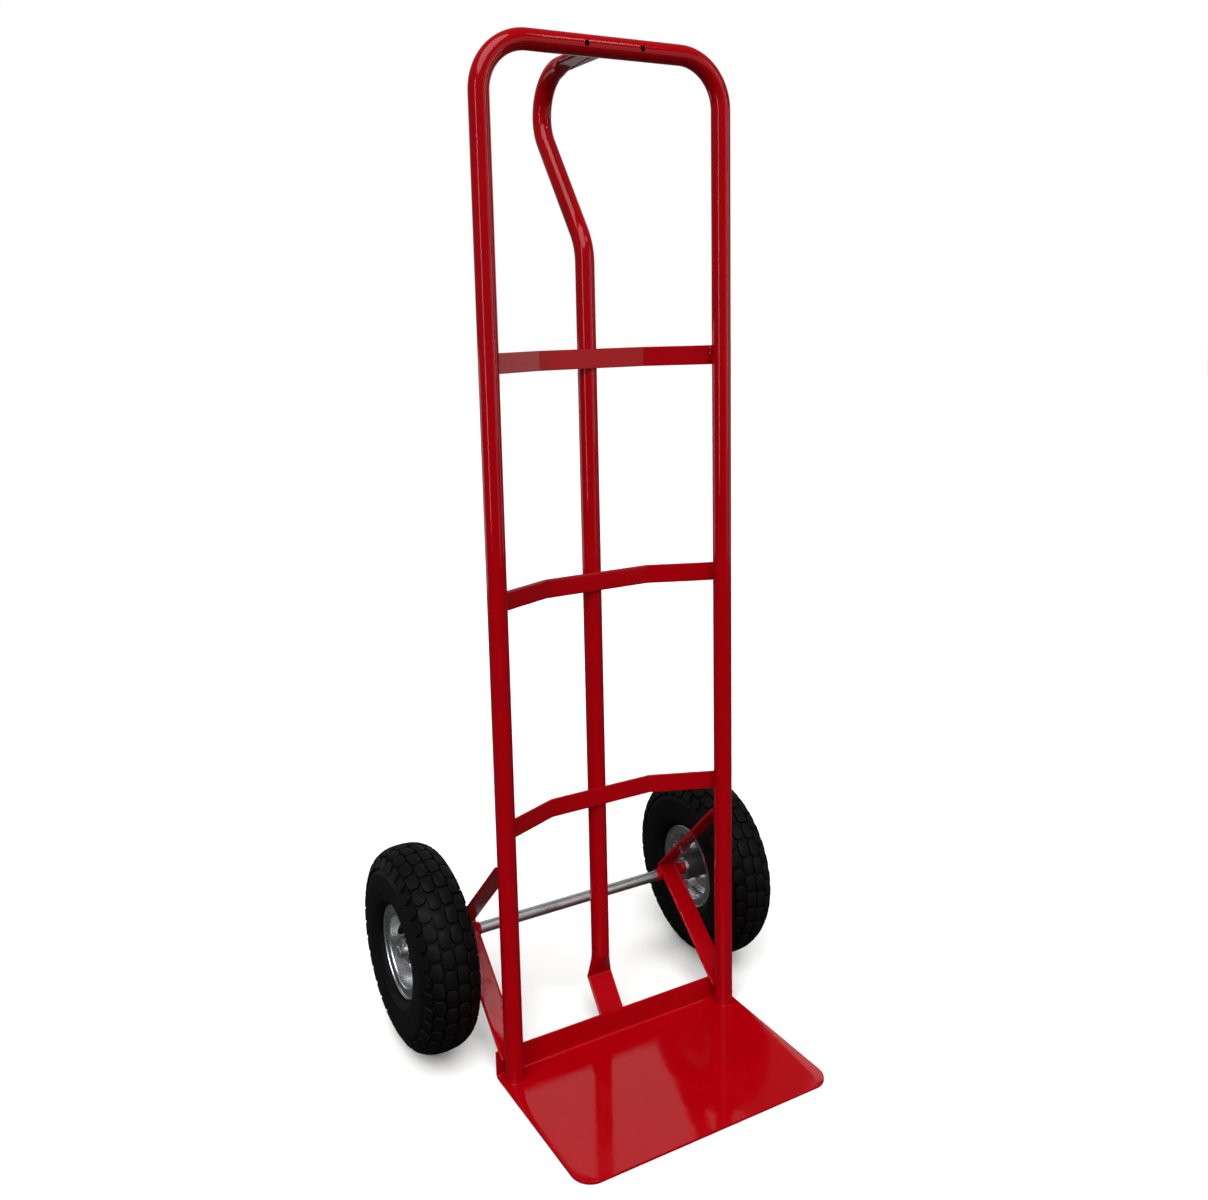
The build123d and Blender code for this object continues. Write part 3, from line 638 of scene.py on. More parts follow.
def crossbar_mesh(node):
    """Flat bar bent back twice; its ends follow the rails' round sides."""
    low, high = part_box(node)
    middle_z = (high[2] + low[2]) / 2
    end_y = low[1] + BAR_T / 2
    mid_y = high[1] - BAR_T / 2
    bend_x = 78 * MM
    path, along = bent_line([(-RAIL_X, end_y, middle_z), (-bend_x, mid_y, middle_z),
                             (bend_x, mid_y, middle_z), (RAIL_X, end_y, middle_z)], [6 * MM] * 2)
    path, along, _ = denser(path, along, np.linspace(0, distances(path)[-1], 60))
    inside = np.abs(path[:, 0]) < RAIL_X - TUBE_R - 1 * MM
    path, along = ends_and(path, inside), ends_and(along, inside)
    rings = swept(path, along, (0, 0, 1), eased_box(high[2] - low[2], BAR_T, 0.5 * MM))
    for ring in (0, -1):
        end = rings[ring]
        side = np.sign(path[ring, 0])
        slope = along[ring, 1] / along[ring, 0]
        end[:, 1] += (side * rail_side(end[:, 1]) - end[:, 0]) * slope
        end[:, 0] = side * rail_side(end[:, 1])
    return skin(rings)


def toe_plate_mesh():
    """Folded plate: a thin rectangle carried from the front edge, round the fold and up the flange.
    Its half width follows a circle's arc at the front corners."""
    corner = 27 * MM
    edge = 0.5 * MM
    half = PLATE_HIGH[0]
    flange_y = PLATE_HIGH[1] - PLATE_T / 2
    path, along = bent_line(
        [(0, PLATE_LOW[1], PLATE_T / 2), (0, flange_y, PLATE_T / 2), (0, flange_y, PLATE_HIGH[2])],
        [4.75 * MM], turn=math.radians(9))
    length = distances(path)[-1]
    fine = corner * (1 - np.cos(np.linspace(0, np.pi / 2, 14)))
    path, along, far = denser(path, along, np.concatenate(
        [fine, np.linspace(corner, length, 26), [edge, length - edge]]))
    inset = corner - np.sqrt(np.clip(corner ** 2 - np.clip(corner - far, 0, corner) ** 2, 0, 1))
    section = np.repeat(eased_box(2 * half, PLATE_T, 0.6 * MM, across=24)[None], len(far), axis=0)
    section[..., 0] *= ((half - inset) / half)[:, None]
    section[[0, -1], :, 1] *= 0.7  # the sheared edges are eased
    return skin(swept(path, along, (1, 0, 0), section))


def bracket_mesh(side, sizes):
    """V-shaped strip: a flat section carried from the flange back to the axle and up to the rail,
    both ends laid against the rail's round back."""
    thick = 3.5 * MM
    apex_y = AXLE_Y + 1.5 * MM
    top_z = 296.5 * MM
    edge_y, edge_z = PLATE_HIGH[1], PLATE_HIGH[2] + FIT
    run, rise = AXLE_Y - edge_y, AXLE_Z - edge_z
    slope = math.atan2(rise, run) + math.asin((SLEEVE_R + FIT) / math.hypot(run, rise))
    lift = thick / 2 / math.cos(slope)
    apex_z = edge_z + (apex_y - edge_y) * math.tan(slope) + lift
    low_z = edge_z - edge_y * math.tan(slope) + lift
    high_z = top_z + TUBE_R * (top_z - apex_z) / (apex_y - TUBE_R)
    x = side * RAIL_X
    path, along = bent_line([(x, 0, low_z), (x, apex_y, apex_z), (x, 0, high_z)], [4 * MM], math.radians(9))
    path, along, _ = denser(path, along, np.linspace(0, distances(path)[-1], 70))
    behind = path[:, 1] > TUBE_R + 3 * MM
    path, along = ends_and(path, behind), ends_and(along, behind)
    rings = swept(path, along, (1, 0, 0), eased_box(sizes.strip_width, thick, 0.45 * MM))
    for ring in (0, -1):
        end = rings[ring]
        depth = (TUBE_R + 0.02 * MM) ** 2 - (end[:, 0] - x) ** 2
        rail_y = np.sqrt(np.clip(depth, (6.4 * MM) ** 2, 1))
        end += ((rail_y - end[:, 1]) / along[ring, 1])[:, None] * along[ring]
    return skin(rings)


def bead_mesh(points, radius, seed=0, ripple=1.0):
    """Weld bead or wire: a circle carried along a line of points; a bead's radius swells and shrinks
    with each ripple of 3.2 mm, and a wire has none. Both taper to their ends."""
    points = np.asarray(points, float)
    length = distances(points)
    whole = length[-1]
    steps = np.linspace(0, whole, max(8, int(whole / (0.9 * MM))))
    line = sampled(steps, length, points)
    along = unit(np.gradient(line, axis=0))
    helper = np.where(np.abs(along[:, 2:]) < 0.8, [[0, 0, 1.0]], [[0, 1.0, 0]])
    first = unit(np.cross(along, helper))
    noise = np.random.default_rng(seed).normal(0, 0.08, len(steps))
    size = radius * (1 + ripple * (0.13 * np.cos(2 * np.pi * steps / (3.2 * MM)) + noise))
    size *= np.sqrt(np.clip(np.minimum(steps, whole - steps) / (2.2 * MM), 0.12, 1))
    spread = spread_ring(circle(1.0, 10), first, np.cross(along, first))
    return skin(line[:, None] + size[:, None, None] * spread)


def arc_points(centre, radius, start, end, plane, count=24):
    """Points on an arc in a plane: 0 is XY and 1 is YZ; angles in degrees from its first axis."""
    turn = np.radians(np.linspace(start, end, count))
    points = np.tile(np.asarray(centre, float), (count, 1))
    points[:, plane] += radius * np.cos(turn)
    points[:, plane + 1] += radius * np.sin(turn)
    return points


# ---------------------------------------------------------------- wheel surfaces

def spread_ring(ring, first, second):
    """A flat ring set square to each of several directions, by two vectors for each."""
    return ring[None, :, :1] * first[:, None] + ring[None, :, 1:] * second[:, None]


def tyre_outline(lowered, count=61):
    """Half of the tyre's skin from crown to bead, lowered by a depth along its own normal, with the
    distance from the crown. Width and radius follow powers of a turn's sine and cosine."""
    turn = np.linspace(0, np.pi / 2, 220)
    belly_r = WHEEL_R - 39 * MM
    out = TYRE_HALF * np.sin(turn) ** 0.80
    high = belly_r + (WHEEL_R - belly_r) * np.cos(turn) ** 0.78
    foot = np.linspace(0, 1, 60)[1:] * np.pi / 2
    rim_out, rim_r = 30.5 * MM, 66.5 * MM
    low_out = TYRE_HALF - (TYRE_HALF - rim_out) * (1 - np.cos(foot)) ** 1.25
    low_r = belly_r - (belly_r - rim_r) * np.sin(foot)
    line = np.stack([np.concatenate([out, low_out]), np.concatenate([high, low_r])], 1)
    length = distances(line)
    spots = np.linspace(0, length[-1], count)
    line = sampled(spots, length, line)
    heading = unit(np.gradient(line, axis=0))
    heading[0] = (1, 0)
    normal = np.stack([-heading[:, 1], heading[:, 0]], 1)
    tread = 1 - smooth_step(spots, 50 * MM, 60 * MM)
    return line - normal * (lowered * tread)[:, None], spots, normal


SIDEWALL_RINGS = (
    # distance from the crown, height, width, in millimetres
    (66, 0.7, 1.3),
    (84, 0.55, 1.1),
    (93, 0.9, 1.6),
)

# From the bead's toe round the cavity to the crown: distance out and radius in millimetres.
BEAD_AND_CAVITY = ((30.2, 65.6), (26.6, 65.4), (26.6, 51.3), (19, 51.3), (22, 60), (30, 84), (33.5, 102),
                   (28, 119), (12, 125.4), (0, 125.6))


def tyre_body(side, sizes):
    """The tyre without its blocks: outer skin with moulded rings on the sidewalls, beads and cavity,
    one closed outline turned round the axle. A ring is a bell curve of the distance from its middle."""
    line, spots, normal = tyre_outline(sizes.tread_depth)
    for at, high, wide in SIDEWALL_RINGS:
        line = line + normal * (high * MM * np.exp(-((spots - at * MM) / (wide * MM)) ** 2))[:, None]
    line[:, 0] = np.minimum(line[:, 0], TYRE_HALF)
    half = np.concatenate([line, np.array(BEAD_AND_CAVITY) * MM])
    left = half[::-1][1:-1] * [-1, 1]
    return turned(np.concatenate([half, left]), WHEEL_X, count=136, side=side)


BLOCKS = (
    # distance from the crown's middle, width, length, share of a pitch round, corner cut, inner end's share
    (8.9, 15.9, 23.6, 0.00, 0.22, 1.0),
    (26.4, 16.4, 23.4, 0.50, 0.22, 1.0),
    (44.2, 16.4, 21.6, 0.00, 0.14, 0.75),
)


def block_points(width, length, cut, depth):
    """One tread block as rings from its root to its top: an octagon with cut corners, wider at the root,
    eased at the top edge. Numbers are (across, round, depth under the tread's surface)."""
    a, b = width / 2, length / 2
    c = min(a, b) * 2 * cut
    d = c * 1.25
    corners = np.array([(a, b - d), (a - c, b), (-a + c, b), (-a, b - d),
                        (-a, -b + d), (-a + c, -b), (a - c, -b), (a, -b + d)])
    return np.stack([np.concatenate([corners * grow, np.full((8, 1), depth * under)], 1)
                     for grow, under in ((1.05, 1.35), (1.0, 0.25), (0.975, 0.07), (0.93, 0.0))])


def tread_mesh(side, sizes):
    """All tread blocks of one tyre. A block's points keep their place along the tyre's outline and
    round the tyre: distance out and radius come from the outline, y and z from the turn."""
    line, spots, normal = tyre_outline(0.0, FINE_OUTLINE)
    pitch = 2 * np.pi / sizes.tread_pitches
    turns = np.arange(sizes.tread_pitches)[:, None, None] * pitch
    meshes = []
    for from_middle, width, length, share, cut, inner in BLOCKS:
        for half in (-1, 1):
            local = block_points(width * MM, length * MM, cut, sizes.tread_depth)
            local[..., 1] *= np.where(local[..., 0] < 0, inner, 1)
            rings, corners = local.shape[:2]
            along = from_middle * MM + local[..., 0]
            out, high = (np.interp(along, spots, line[:, k])
                         - np.interp(along, spots, normal[:, k]) * local[..., 2] for k in (0, 1))
            lag = share + (HALF_LAG if half > 0 else 0)
            turn = turns + lag * pitch + half * local[..., 1] / WHEEL_R
            points = round_line(side * (WHEEL_X + half * out), high, turn)
            start = np.arange(len(turns))[:, None, None] * (rings * corners)
            faces = (grid_faces(rings, corners)[None] + start).reshape(-1, 4).tolist()
            tops = np.arange((rings - 1) * corners, rings * corners)[None] + start[:, :, 0]
            roots = np.arange(corners)[None] + start[:, :, 0]
            meshes.append((points.reshape(-1, 3), faces + tops.tolist() + roots.tolist()))
    return joined(meshes)


def mould_hairs(side):
    """Short rubber hairs that the mould's vents leave on the sidewall and at the shoulder: thin cones
    that stand on the outline at random turns."""
    line, spots, normal = tyre_outline(0.0, FINE_OUTLINE)
    luck = np.random.default_rng(7 if side > 0 else 11)
    count = 46
    turn = luck.uniform(0, 2 * np.pi, count)
    along = np.where(luck.random(count) < 0.5, 88 * MM, 56 * MM)
    half = np.where(luck.random(count) < 0.6, 1, -1)
    out, high = sampled(along, spots, line).T
    facing_out, facing_up = sampled(along, spots, normal).T
    facing = round_line(side * half * facing_out, facing_up, turn, (0, 0))
    root = round_line(side * (WHEEL_X + half * out), high, turn)
    first = unit(np.cross(facing, [0.3, 0.9, 0.1]))
    spread = spread_ring(circle(0.35 * MM, 5), first, np.cross(facing, first))
    length = luck.uniform(0.8, 2.2, count) * MM
    points = np.stack([(root + facing * (length * share)[:, None])[:, None] + size * spread
                       for share, size in ((-0.5, 1.0), (1.0, 0.3))], 1)
    reach = np.abs(points[..., 0])
    keep = (reach.max((1, 2)) < WHEEL_X + TYRE_HALF) & (reach.min((1, 2)) > WHEEL_X - TYRE_HALF)
    return joined([skin(one) for one in points[keep]])


# Corners of the rim half's outline and of the hub's: distance out, radius, and how far each is rounded.
RIM_CORNERS = (
    (0.05, 19.2, 0), (0.05, 44.5, 3), (6, 50.6, 4), (27, 50.6, 1.2), (27, 62.5, 1.5), (29.4, 65, 1.6),
    (31.2, 64.0, 1.0), (30.6, 61.6, 0.8), (29, 61.0, 0.8), (29, 48.8, 3.4), (7, 48.8, 2.5),
    (2.0, 43.6, 2.5), (2.0, 29.5, 1.6), (3.6, 27.5, 1.5), (4.2, 22.5, 1.5), (2.4, 20.6, 0.8),
    (2.05, 19.2, 0),
)
HUB_CORNERS = (
    (-37, 17.5, 0.5), (20, 17.5, 0.5), (20, 19, 0.6), (3.2, 19, 0.5), (1.8, 20.2, 0.6), (-1.8, 20.2, 0.6),
    (-3.2, 19, 0.5), (-37, 19, 0.6),
)


def rim_half_mesh(side, facing):
    """One pressed rim half: embossed disc, well, bead seat, flange and rolled lip as one outline."""
    *corners, radii = np.array(RIM_CORNERS).T * MM
    return turned(rounded_outline(np.stack(corners, 1), radii) * [facing, 1], WHEEL_X, count=112, side=side)


def hub_mesh(side):
    """Hub tube with eased ends, and a raised weld band where the disc sits."""
    *corners, radii = np.array(HUB_CORNERS).T * MM
    return turned(rounded_outline(np.stack(corners, 1), radii), WHEEL_X, count=72, side=side)


def ring_mesh(x0, x1, bore, radius, count, side):
    """Turned ring on the axle, between two distances out, with a crisp bore and eased outer edges."""
    outline = rounded_outline([(x0, bore), (x1, bore), (x1, radius), (x0, radius)],
                              np.array([0.2, 0.2, 0.5, 0.5]) * MM)
    return turned(outline, 0, count, side)


def hex_part(x0, height, middle, direction):
    """Hexagon bolt head or nut: its outline is the flats' distance over the cosine of the turn, and its
    outer edge is cut back by a 30 degree cone."""
    flat = 6.5 * MM
    turn = even_turn(48)
    reach = flat / np.cos((turn % (np.pi / 3)) - np.pi / 6)
    cone = np.clip((reach - flat + 0.05 * MM) * math.tan(math.radians(30)), 0, 1)
    rings = ((reach, 0), (reach, height - cone), (flat - 0.15 * MM + 0 * turn, height))
    return skin(np.stack([round_line(x0 + direction * up, radius, turn, middle) for radius, up in rings]))


def threaded_rod(x0, x1, middle, radius, pitch=1.25 * MM):
    """Thread: the radius dips by a tooth wave of the distance along less the turn's share of a pitch."""
    turn = even_turn(20)
    length = abs(x1 - x0)
    steps = np.linspace(0, length, max(6, int(length / (pitch / 5))))[:, None]
    wave = np.abs(((steps / pitch - turn / (2 * np.pi)) % 1) - 0.5) * 2
    chamfer = radius - 0.9 * MM + np.minimum(steps, length - steps) * 1.2
    r = np.minimum(radius - 0.62 * MM * wave, chamfer)
    return skin(round_line(x0 + np.sign(x1 - x0) * steps, r, turn, middle))


def bolt_places():
    """Centres of the four rim bolts, evenly spaced on their circle."""
    turn = np.radians(26 + 90 * np.arange(4))
    return round_line(0, 35 * MM, turn)[:, 1:]


# Outlines of the valve: distance in from the rim's seat and radius, in millimetres.
VALVE_STEM = ((-7.5, 0), (-7.5, 4.2), (-0.5, 4.2), (0.6, 5.2), (2.2, 5.4), (3.6, 4.6), (5.5, 4.1),
              (12.5, 3.7), (14.6, 3.6), (15, 3.2), (15, 2.6), (22, 2.5), (22, 0))
VALVE_CAP = ((15.2, 2.7), (15.2, 4.5), (16.2, 4.7), (24.6, 4.3), (26.6, 3.7), (27.2, 2.8), (27.2, 0))


def on_valve_line(side, profile, count=28, knurl=0.0):
    """A profile of (distance in from the rim's seat, radius) turned round the valve's leaning line. A
    knurled one's radius swells and shrinks at every other point round it."""
    lean = math.radians(30)
    inward = np.array([side * math.sin(lean), 0, -math.cos(lean)])
    seat = np.array([side * (WHEEL_X + 15 * MM), AXLE_Y, AXLE_Z + RIM_SEAT_R])
    first = np.array([0, 1.0, 0])
    second = np.cross(inward, first)
    turn = even_turn(count)
    profile = np.asarray(profile, float) * MM
    radius = profile[:, 1:] * (1 + knurl * np.cos(turn * count / 2))
    points = (seat + profile[:, None, :1] * inward
              + radius[..., None] * (np.cos(turn)[:, None] * first + np.sin(turn)[:, None] * second))
    return skin(points)


def split_pin_mesh(side):
    """Split pin: one wire down its shank, round an eye over the axle and down again, its two legs bent."""
    x = side * (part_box("split_pins")[1][0] - 6 * MM)
    top = np.array([x, AXLE_Y, AXLE_Z + AXLE_R + 2.4 * MM])
    foot = np.array([x, AXLE_Y, AXLE_Z - AXLE_R - 1.9 * MM])
    up = np.array([(side * 5.2, 0.78, -0.2), (side * 2.0, 0.78, -0.1), (0, 0.78, 1.8)]) * MM + foot
    down = np.array([(0, -0.78, 1.0), (0, -2.6, 0), (0, -5.4, 0.9)]) * MM + foot
    gap = np.array([[0, 0.78 * MM, 0]])
    eye = arc_points(top + [0, 0, 2.9 * MM], 2.9 * MM, -70, 250, 1, 26)
    return bead_mesh(np.concatenate([up, top + gap, eye, top - gap, down]), 0.74 * MM, ripple=0.0)


def weld_meshes():
    """Beads where the welded pieces meet, each a short rippled line. A bead is its line, its radius in
    millimetres and the seed of its ripples."""
    beads = []
    end_gap = 2 * MM
    for side in (-1, 1):
        x = side * RAIL_X
        back_y = TUBE_R - 0.5 * MM
        beads.append((arc_points((x, 0, PLATE_T), TUBE_R - FIT, -178, -2, 0), 0.7, 1))
        beads.append(([(x - 9 * MM, back_y, PLATE_HIGH[2]), (x + 9 * MM, back_y, PLATE_HIGH[2])], 1.9, 2))
        for node in CROSSBARS:
            low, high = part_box(node)
            corner_x = side * (RAIL_X - 10.6 * MM)
            for y in (low[1], low[1] + BAR_T):
                beads.append(([(corner_x, y, low[2] + end_gap), (corner_x, y, high[2] - end_gap)], 1.15, 5))
        for z, radius, seed in ((300 * MM, 1.6, 6), (46 * MM, 1.5, 7)):
            beads.append((arc_points((x, 0, z), TUBE_R + 0.3 * MM, 25, 155, 0), radius, seed))
        for end in (-14.6 * MM, 14.6 * MM):
            middle = (side * (RAIL_X + end), AXLE_Y, AXLE_Z)
            beads.append((arc_points(middle, SLEEVE_R + 0.5 * MM, 62, 118, 1, 12), 1.6, 8))
    for node in CROSSBARS:
        low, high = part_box(node)
        for x in (-4.6 * MM, 4.6 * MM):
            beads.append(([(x, BAR_BACK_Y, low[2] + end_gap), (x, BAR_BACK_Y, high[2] - end_gap)], 1.1, 9))
    for half, y, z, radius, seed in ((17 * MM, PLATE_HIGH[1], 9.5 * MM, 1.6, 10),
                                     (16 * MM, 11.6 * MM, TOP_Z + 5 * MM, 1.6, 12),
                                     (16 * MM, 11.6 * MM, TOP_Z - 5 * MM, 1.3, 13)):
        beads.append(([(-half, y, z), (half, y, z)], radius, seed))
    return [bead_mesh(line, radius * MM, seed) for line, radius, seed in beads]


# ---------------------------------------------------------------- operators, one for each kind of piece

class TRUCK_OT_frame_tube(bpy.types.Operator):
    """Adds the inverted U of the frame"""
    bl_idname = "truck.frame_tube"
    bl_label = "Frame tube"

    def execute(self, context):
        red_piece("frame_u_tube", frame_tube_mesh(context.scene.truck_sizes), "frame_tube")
        return {"FINISHED"}


class TRUCK_OT_handle(bpy.types.Operator):
    """Adds the looped handle tube"""
    bl_idname = "truck.handle"
    bl_label = "Handle tube"

    def execute(self, context):
        red_piece("handle_loop_tube", handle_mesh(context.scene.truck_sizes), "handle_tube")
        return {"FINISHED"}


class TRUCK_OT_crossbars(bpy.types.Operator):
    """Adds the three crossbars"""
    bl_idname = "truck.crossbars"
    bl_label = "Crossbars"

    def execute(self, context):
        for node in CROSSBARS:
            red_piece(f"bent_{node}", crossbar_mesh(node), node)
        return {"FINISHED"}


class TRUCK_OT_toe_plate(bpy.types.Operator):
    """Adds the folded toe plate"""
    bl_idname = "truck.toe_plate"
    bl_label = "Toe plate"

    def execute(self, context):
        red_piece("folded_toe_plate", toe_plate_mesh(), "toe_plate")
        return {"FINISHED"}


class TRUCK_OT_brackets(bpy.types.Operator):
    """Adds the axle brackets and their sleeves"""
    bl_idname = "truck.brackets"
    bl_label = "Axle brackets and sleeves"

    def execute(self, context):
        sizes = context.scene.truck_sizes
        for name, side in SIDES:
            red_piece(f"bent_bracket_{name}", bracket_mesh(side, sizes), f"axle_bracket_{name}",
                      finish=stoving_enamel("stoving_enamel_red_thick", 0.5))
            ends = sorted(abs(corner[0]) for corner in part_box(f"axle_sleeve_{name}"))
            red_piece(f"turned_sleeve_{name}", ring_mesh(*ends, AXLE_R + FIT, SLEEVE_R, 64, side),
                      f"axle_sleeve_{name}")
        return {"FINISHED"}


class TRUCK_OT_welds(bpy.types.Operator):
    """Adds the weld beads"""
    bl_idname = "truck.welds"
    bl_label = "Weld beads"

    def execute(self, context):
        red_piece("weld_beads", joined(weld_meshes()))
        return {"FINISHED"}


class TRUCK_OT_axle(bpy.types.Operator):
    """Adds the axle, its washers and split pins"""
    bl_idname = "truck.axle"
    bl_label = "Axle, washers and split pins"

    def execute(self, context):
        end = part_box("axle")[1][0]
        bevel = 1.2 * MM
        outline = np.array([(-end, 0), (-end, AXLE_R - bevel), (-end + bevel, AXLE_R), (0, AXLE_R),
                            (end - bevel, AXLE_R), (end, AXLE_R - bevel), (end, 0)])
        drawn = zinc_plate("zinc_plated_drawn_rod", drawn=(0.03, 1, 1), rough=(0.28, 0.46), shade=0.92)
        piece("drawn_axle", [turned(outline, 0, 48, closed=False)], drawn, "frame", ["axle"])
        plated = fastener_plate()
        washers = [ring_mesh(x, x + WASHER_T, AXLE_R + 0.05 * MM, 15 * MM, 56, side)
                   for side in (-1, 1) for x in WASHER_X]
        piece("punched_washers", washers, plated, "frame", ["washers"])
        piece("wire_split_pins", [split_pin_mesh(-1), split_pin_mesh(1)], plated, "frame",
              ["split_pins"])
        return {"FINISHED"}


class TRUCK_OT_tyres(bpy.types.Operator):
    """Adds the two tyres with their tread blocks"""
    bl_idname = "truck.tyres"
    bl_label = "Tyres"

    def execute(self, context):
        sizes = context.scene.truck_sizes
        for name, side in SIDES:
            wheel_piece("block_tyre", [tyre_body(side, sizes), tread_mesh(side, sizes), mould_hairs(side)],
                        vulcanised_rubber(), name, "tyre", sharp=40)
        return {"FINISHED"}


class TRUCK_OT_rims(bpy.types.Operator):
    """Adds the two halves of each rim"""
    bl_idname = "truck.rims"
    bl_label = "Rims"

    def execute(self, context):
        pressed = zinc_plate("zinc_plated_pressed_rim", rough=(0.24, 0.36), spangle=16)
        for name, side in SIDES:
            for part, facing in (("outer", 1), ("inner", -1)):
                wheel_piece(f"pressed_rim_{part}", [rim_half_mesh(side, facing)], pressed, name,
                            f"rim_{part}")
        return {"FINISHED"}


class TRUCK_OT_hubs(bpy.types.Operator):
    """Adds the hub tubes and finishes the bearings and inner tubes inside"""
    bl_idname = "truck.hubs"
    bl_label = "Hubs and bearings"

    def execute(self, context):
        ground = zinc_plate("ground_bearing_steel", rough=(0.14, 0.24), shade=0.9, spangle=4)
        butyl = vulcanised_rubber("extruded_butyl_tube", grain=0.8, shade=1.3, rough=(0.35, 0.5))
        for name, side in SIDES:
            wheel_piece("hub_barrel", [hub_mesh(side)], phosphated_steel(), name, "hub")
            for part in ("outer_rings", "inner_rings", "balls"):
                finish_node(f"bearing_{part}_{name}", ground)
            finish_node(f"inner_tube_{name}", butyl)
        return {"FINISHED"}


class TRUCK_OT_bolts(bpy.types.Operator):
    """Adds the rim bolts and nuts"""
    bl_idname = "truck.bolts"
    bl_label = "Rim bolts and nuts"

    def execute(self, context):
        plated = fastener_plate()
        for name, side in SIDES:
            face, back, tip = (side * (WHEEL_X + out * MM) for out in (2, -2, -10.5))
            bolts = []
            nuts = []
            for middle in bolt_places():
                bolts.append(hex_part(face, 5.3 * MM, middle, side))
                bolts.append(threaded_rod(face, tip, middle, 4 * MM))
                nuts.append(hex_part(back, 6.5 * MM, middle, -side))
            wheel_piece("hexagon_bolts", bolts, plated, name, "rim_bolts", 25)
            wheel_piece("hexagon_nuts", nuts, plated, name, "rim_nuts", 25)
        return {"FINISHED"}


class TRUCK_OT_valves(bpy.types.Operator):
    """Adds the valve stems and caps"""
    bl_idname = "truck.valves"
    bl_label = "Valves"

    def execute(self, context):
        moulded = vulcanised_rubber("moulded_valve_rubber", grain=0.7, rough=(0.32, 0.45))
        for name, side in SIDES:
            wheel_piece("valve_stem_body", [on_valve_line(side, VALVE_STEM)], moulded, name,
                        "valve_stem")
            wheel_piece("valve_dust_cap", [on_valve_line(side, VALVE_CAP, 48, 0.025)], moulded,
                        name, "valve_cap")
        return {"FINISHED"}


class TRUCK_OT_stage(bpy.types.Operator):
    """Adds the floor, the lights and the camera"""
    bl_idname = "truck.stage"
    bl_label = "Stage"

    def execute(self, context):
        studio_floor()
        studio_lights()
        studio_camera()
        return {"FINISHED"}


def studio_floor():
    """Flat square floor, 28 m across, just under the tyres."""
    lines = np.linspace(-14, 14, 9)
    x, y = np.meshgrid(lines, lines, indexing="ij")
    points = np.stack([x, y, np.full_like(x, -0.2 * MM)], -1)
    mesh = bpy.data.meshes.new("studio_floor")
    mesh.from_pydata(points.reshape(-1, 3).tolist(), [], grid_faces(*x.shape, wrap_columns=False).tolist())
    mesh.materials.append(pale_floor())
    floor = bpy.data.objects.new("studio_floor", mesh)
    bpy.context.scene.collection.objects.link(floor)


def pale_floor():
    """Matt painted studio floor, nearly white, with a trace of unevenness. It throws less light back
    on to the truck than it shows."""
    material, tree, place = new_finish("matt_studio_paint")
    if tree is None:
        return material
    clouds = add_node(tree, "ShaderNodeTexNoise", Vector=place, Scale=1.5, Detail=2.0)
    seen, thrown = (add_node(tree, "ShaderNodeBsdfPrincipled", Roughness=1.0, Specular_IOR_Level=0.0,
                             Base_Color=tinted(tree, linear(shade), 0.985, 1.0, clouds.outputs[0]))
                    for shade in ("#FDFDFC", "#404040"))
    from_camera = add_node(tree, "ShaderNodeLightPath").outputs["Is Camera Ray"]
    to_output(tree, add_node(tree, "ShaderNodeMixShader", in_0=from_camera, in_1=thrown.outputs[0],
                             in_2=seen.outputs[0]))
    return material


SUN_LAMPS = (
    # name, place, strength; only the first is mirrored in the gloss
    ("broad_lamp", (-1.5, -2.15, 4.1), 3.5),
    ("rear_fill_lamp", (1.8, 2.4, 1.9), 1.4),
)
SOFT_BOXES = (
    # name, place, width, height, watts; in metres
    ("top_box", (0.75, -1.1, 2.3), 0.3, 0.3, 2.2),
    ("front_box", (1.6, -2.6, 1.0), 1.2, 2.0, 7),
    ("side_box_right", (3.0, -0.9, 0.9), 0.7, 1.8, 7),
    ("side_box_low", (-1.7, 2.5, 0.35), 1.6, 1.1, 9),
    ("rear_box_low", (1.7, 3.0, 0.45), 4.0, 0.9, 3.2),
    ("strip_box_left", (-2.6, -1.4, 1.3), 0.3, 2.2, 20),
    ("strip_box_right", (2.4, -2.2, 1.5), 0.3, 2.2, 14),
    ("rear_box_middle", (1.2, 2.3, 1.75), 1.1, 1.5, 4.4),
    ("rear_box_right", (2.7, 2.0, 1.6), 0.9, 1.5, 5.5),
    ("rear_box_left", (-0.35, 2.5, 1.75), 0.8, 1.4, 1.15),
)


def studio_lights():
    """A broad soft lamp overhead and a weaker one behind, soft boxes round the truck and an even pale
    surrounding, which is plain white behind the truck."""
    world = bpy.data.worlds.new("pale_surround")
    world.use_nodes = True
    tree = world.node_tree
    tree.nodes.clear()
    from_camera = add_node(tree, "ShaderNodeLightPath").outputs["Is Camera Ray"]
    seen, thrown = (add_node(tree, "ShaderNodeBackground", Color=(1, 1, 1, 1), Strength=strength)
                    for strength in (1.0, 0.15))
    mixed = add_node(tree, "ShaderNodeMixShader", in_0=from_camera, in_1=thrown.outputs[0],
                     in_2=seen.outputs[0])
    add_node(tree, "ShaderNodeOutputWorld", Surface=mixed.outputs[0])
    bpy.context.scene.world = world
    for name, place, strength in SUN_LAMPS:
        sun = bpy.data.lights.new(name, "SUN")
        sun.energy = strength
        sun.angle = math.radians(55)
        add_lamp(sun, place).visible_glossy = name == "broad_lamp"
    for name, place, width, height, power in SOFT_BOXES:
        box = bpy.data.lights.new(name, "AREA")
        box.shape = "RECTANGLE"
        box.size = width
        box.size_y = height
        box.energy = power
        add_lamp(box, place).visible_camera = False


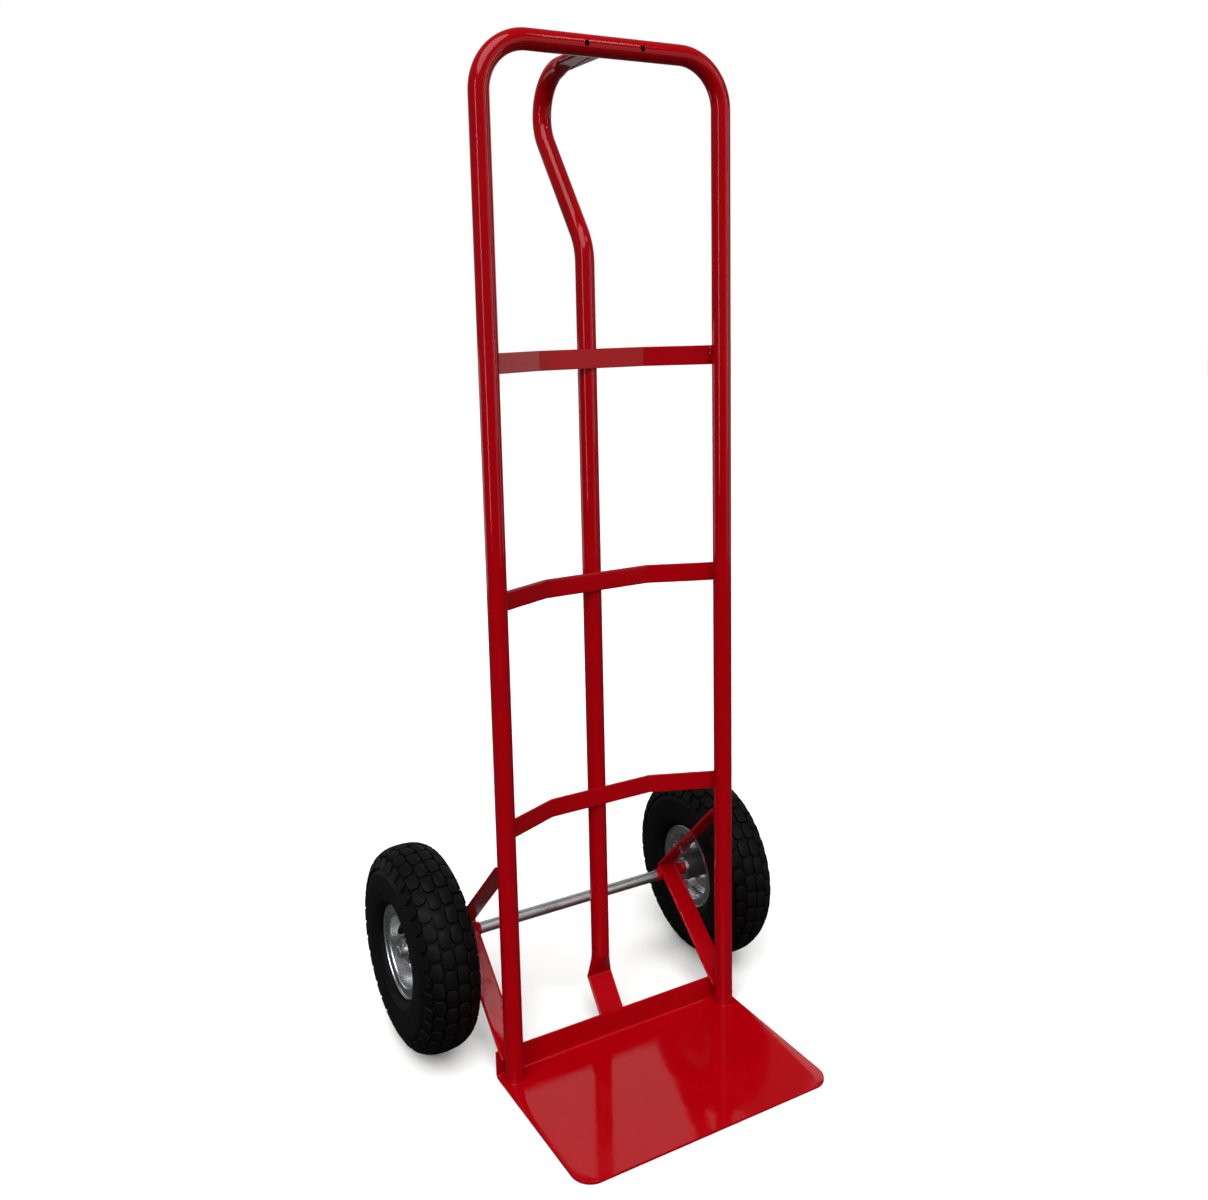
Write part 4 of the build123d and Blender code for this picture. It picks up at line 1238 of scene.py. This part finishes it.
def add_lamp(data, place):
    """Lamp at a place, pointed at the truck."""
    lamp = bpy.data.objects.new(data.name, data)
    lamp.location = place
    lamp.rotation_euler = (Vector(place) - Vector((0, 0.05, 0.5))).to_track_quat("Z", "Y").to_euler()
    bpy.context.scene.collection.objects.link(lamp)
    return lamp


def studio_camera():
    """Camera in front, to the left and above: azimuth 29 degrees, 9.7 degrees down, 34.5 mm lens."""
    azimuth, pitch, roll = np.radians((-29.15, 9.664, -1.276))
    forward = np.array([-math.sin(azimuth) * math.cos(pitch), math.cos(azimuth) * math.cos(pitch),
                        -math.sin(pitch)])
    level = unit(np.cross(forward, (0, 0, 1)))
    right = math.cos(roll) * level + math.sin(roll) * np.cross(level, forward)
    up = np.cross(right, forward)
    data = bpy.data.cameras.new("studio_camera")
    data.sensor_fit = "HORIZONTAL"
    data.sensor_width = 36
    data.lens = 34.512
    data.shift_x = 0.0088
    data.shift_y = -0.0726
    data.clip_start = 0.05
    data.clip_end = 60
    camera = bpy.data.objects.new("studio_camera", data)
    matrix = Matrix(np.stack([right, up, -forward], 1).tolist()).to_4x4()
    matrix.translation = (-0.7432, -1.2768, 1.0032)
    camera.matrix_world = matrix
    bpy.context.scene.collection.objects.link(camera)
    bpy.context.scene.camera = camera


# ---------------------------------------------------------------- panel and registration

BUILDERS = (
    TRUCK_OT_frame_tube, TRUCK_OT_handle, TRUCK_OT_crossbars, TRUCK_OT_toe_plate, TRUCK_OT_brackets,
    TRUCK_OT_welds, TRUCK_OT_axle, TRUCK_OT_tyres, TRUCK_OT_rims, TRUCK_OT_hubs, TRUCK_OT_bolts,
    TRUCK_OT_valves, TRUCK_OT_stage,
)


class TRUCK_PT_panel(bpy.types.Panel):
    """Sidebar list of the truck's sizes, colours and pieces"""
    bl_idname = "TRUCK_PT_panel"
    bl_label = "Hand truck"
    bl_space_type = "VIEW_3D"
    bl_region_type = "UI"
    bl_category = "Hand Truck"

    def draw(self, context):
        for group in (context.scene.truck_sizes, context.scene.truck_colours):
            box = self.layout.box()
            for name in group.bl_rna.properties.keys():
                if name not in ("rna_type", "name"):
                    box.prop(group, name)
        for builder in BUILDERS:
            self.layout.operator(builder.bl_idname)


def register():
    """Registers the property groups, operators and panel."""
    for group in (TruckSizes, TruckColours):
        bpy.utils.register_class(group)
    bpy.types.Scene.truck_sizes = bpy.props.PointerProperty(type=TruckSizes)
    bpy.types.Scene.truck_colours = bpy.props.PointerProperty(type=TruckColours)
    for builder in BUILDERS:
        bpy.utils.register_class(builder)
    bpy.utils.register_class(TRUCK_PT_panel)


def unregister():
    """Takes everything back out, in the opposite order."""
    bpy.utils.unregister_class(TRUCK_PT_panel)
    for builder in reversed(BUILDERS):
        bpy.utils.unregister_class(builder)
    del bpy.types.Scene.truck_colours
    del bpy.types.Scene.truck_sizes
    for group in (TruckColours, TruckSizes):
        bpy.utils.unregister_class(group)


def main():
    register()
    for builder in BUILDERS:
        area, name = builder.bl_idname.split(".")
        getattr(getattr(bpy.ops, area), name)()
    bpy.context.scene.view_settings.view_transform = "Standard"


if __name__ == "__main__":
    main()
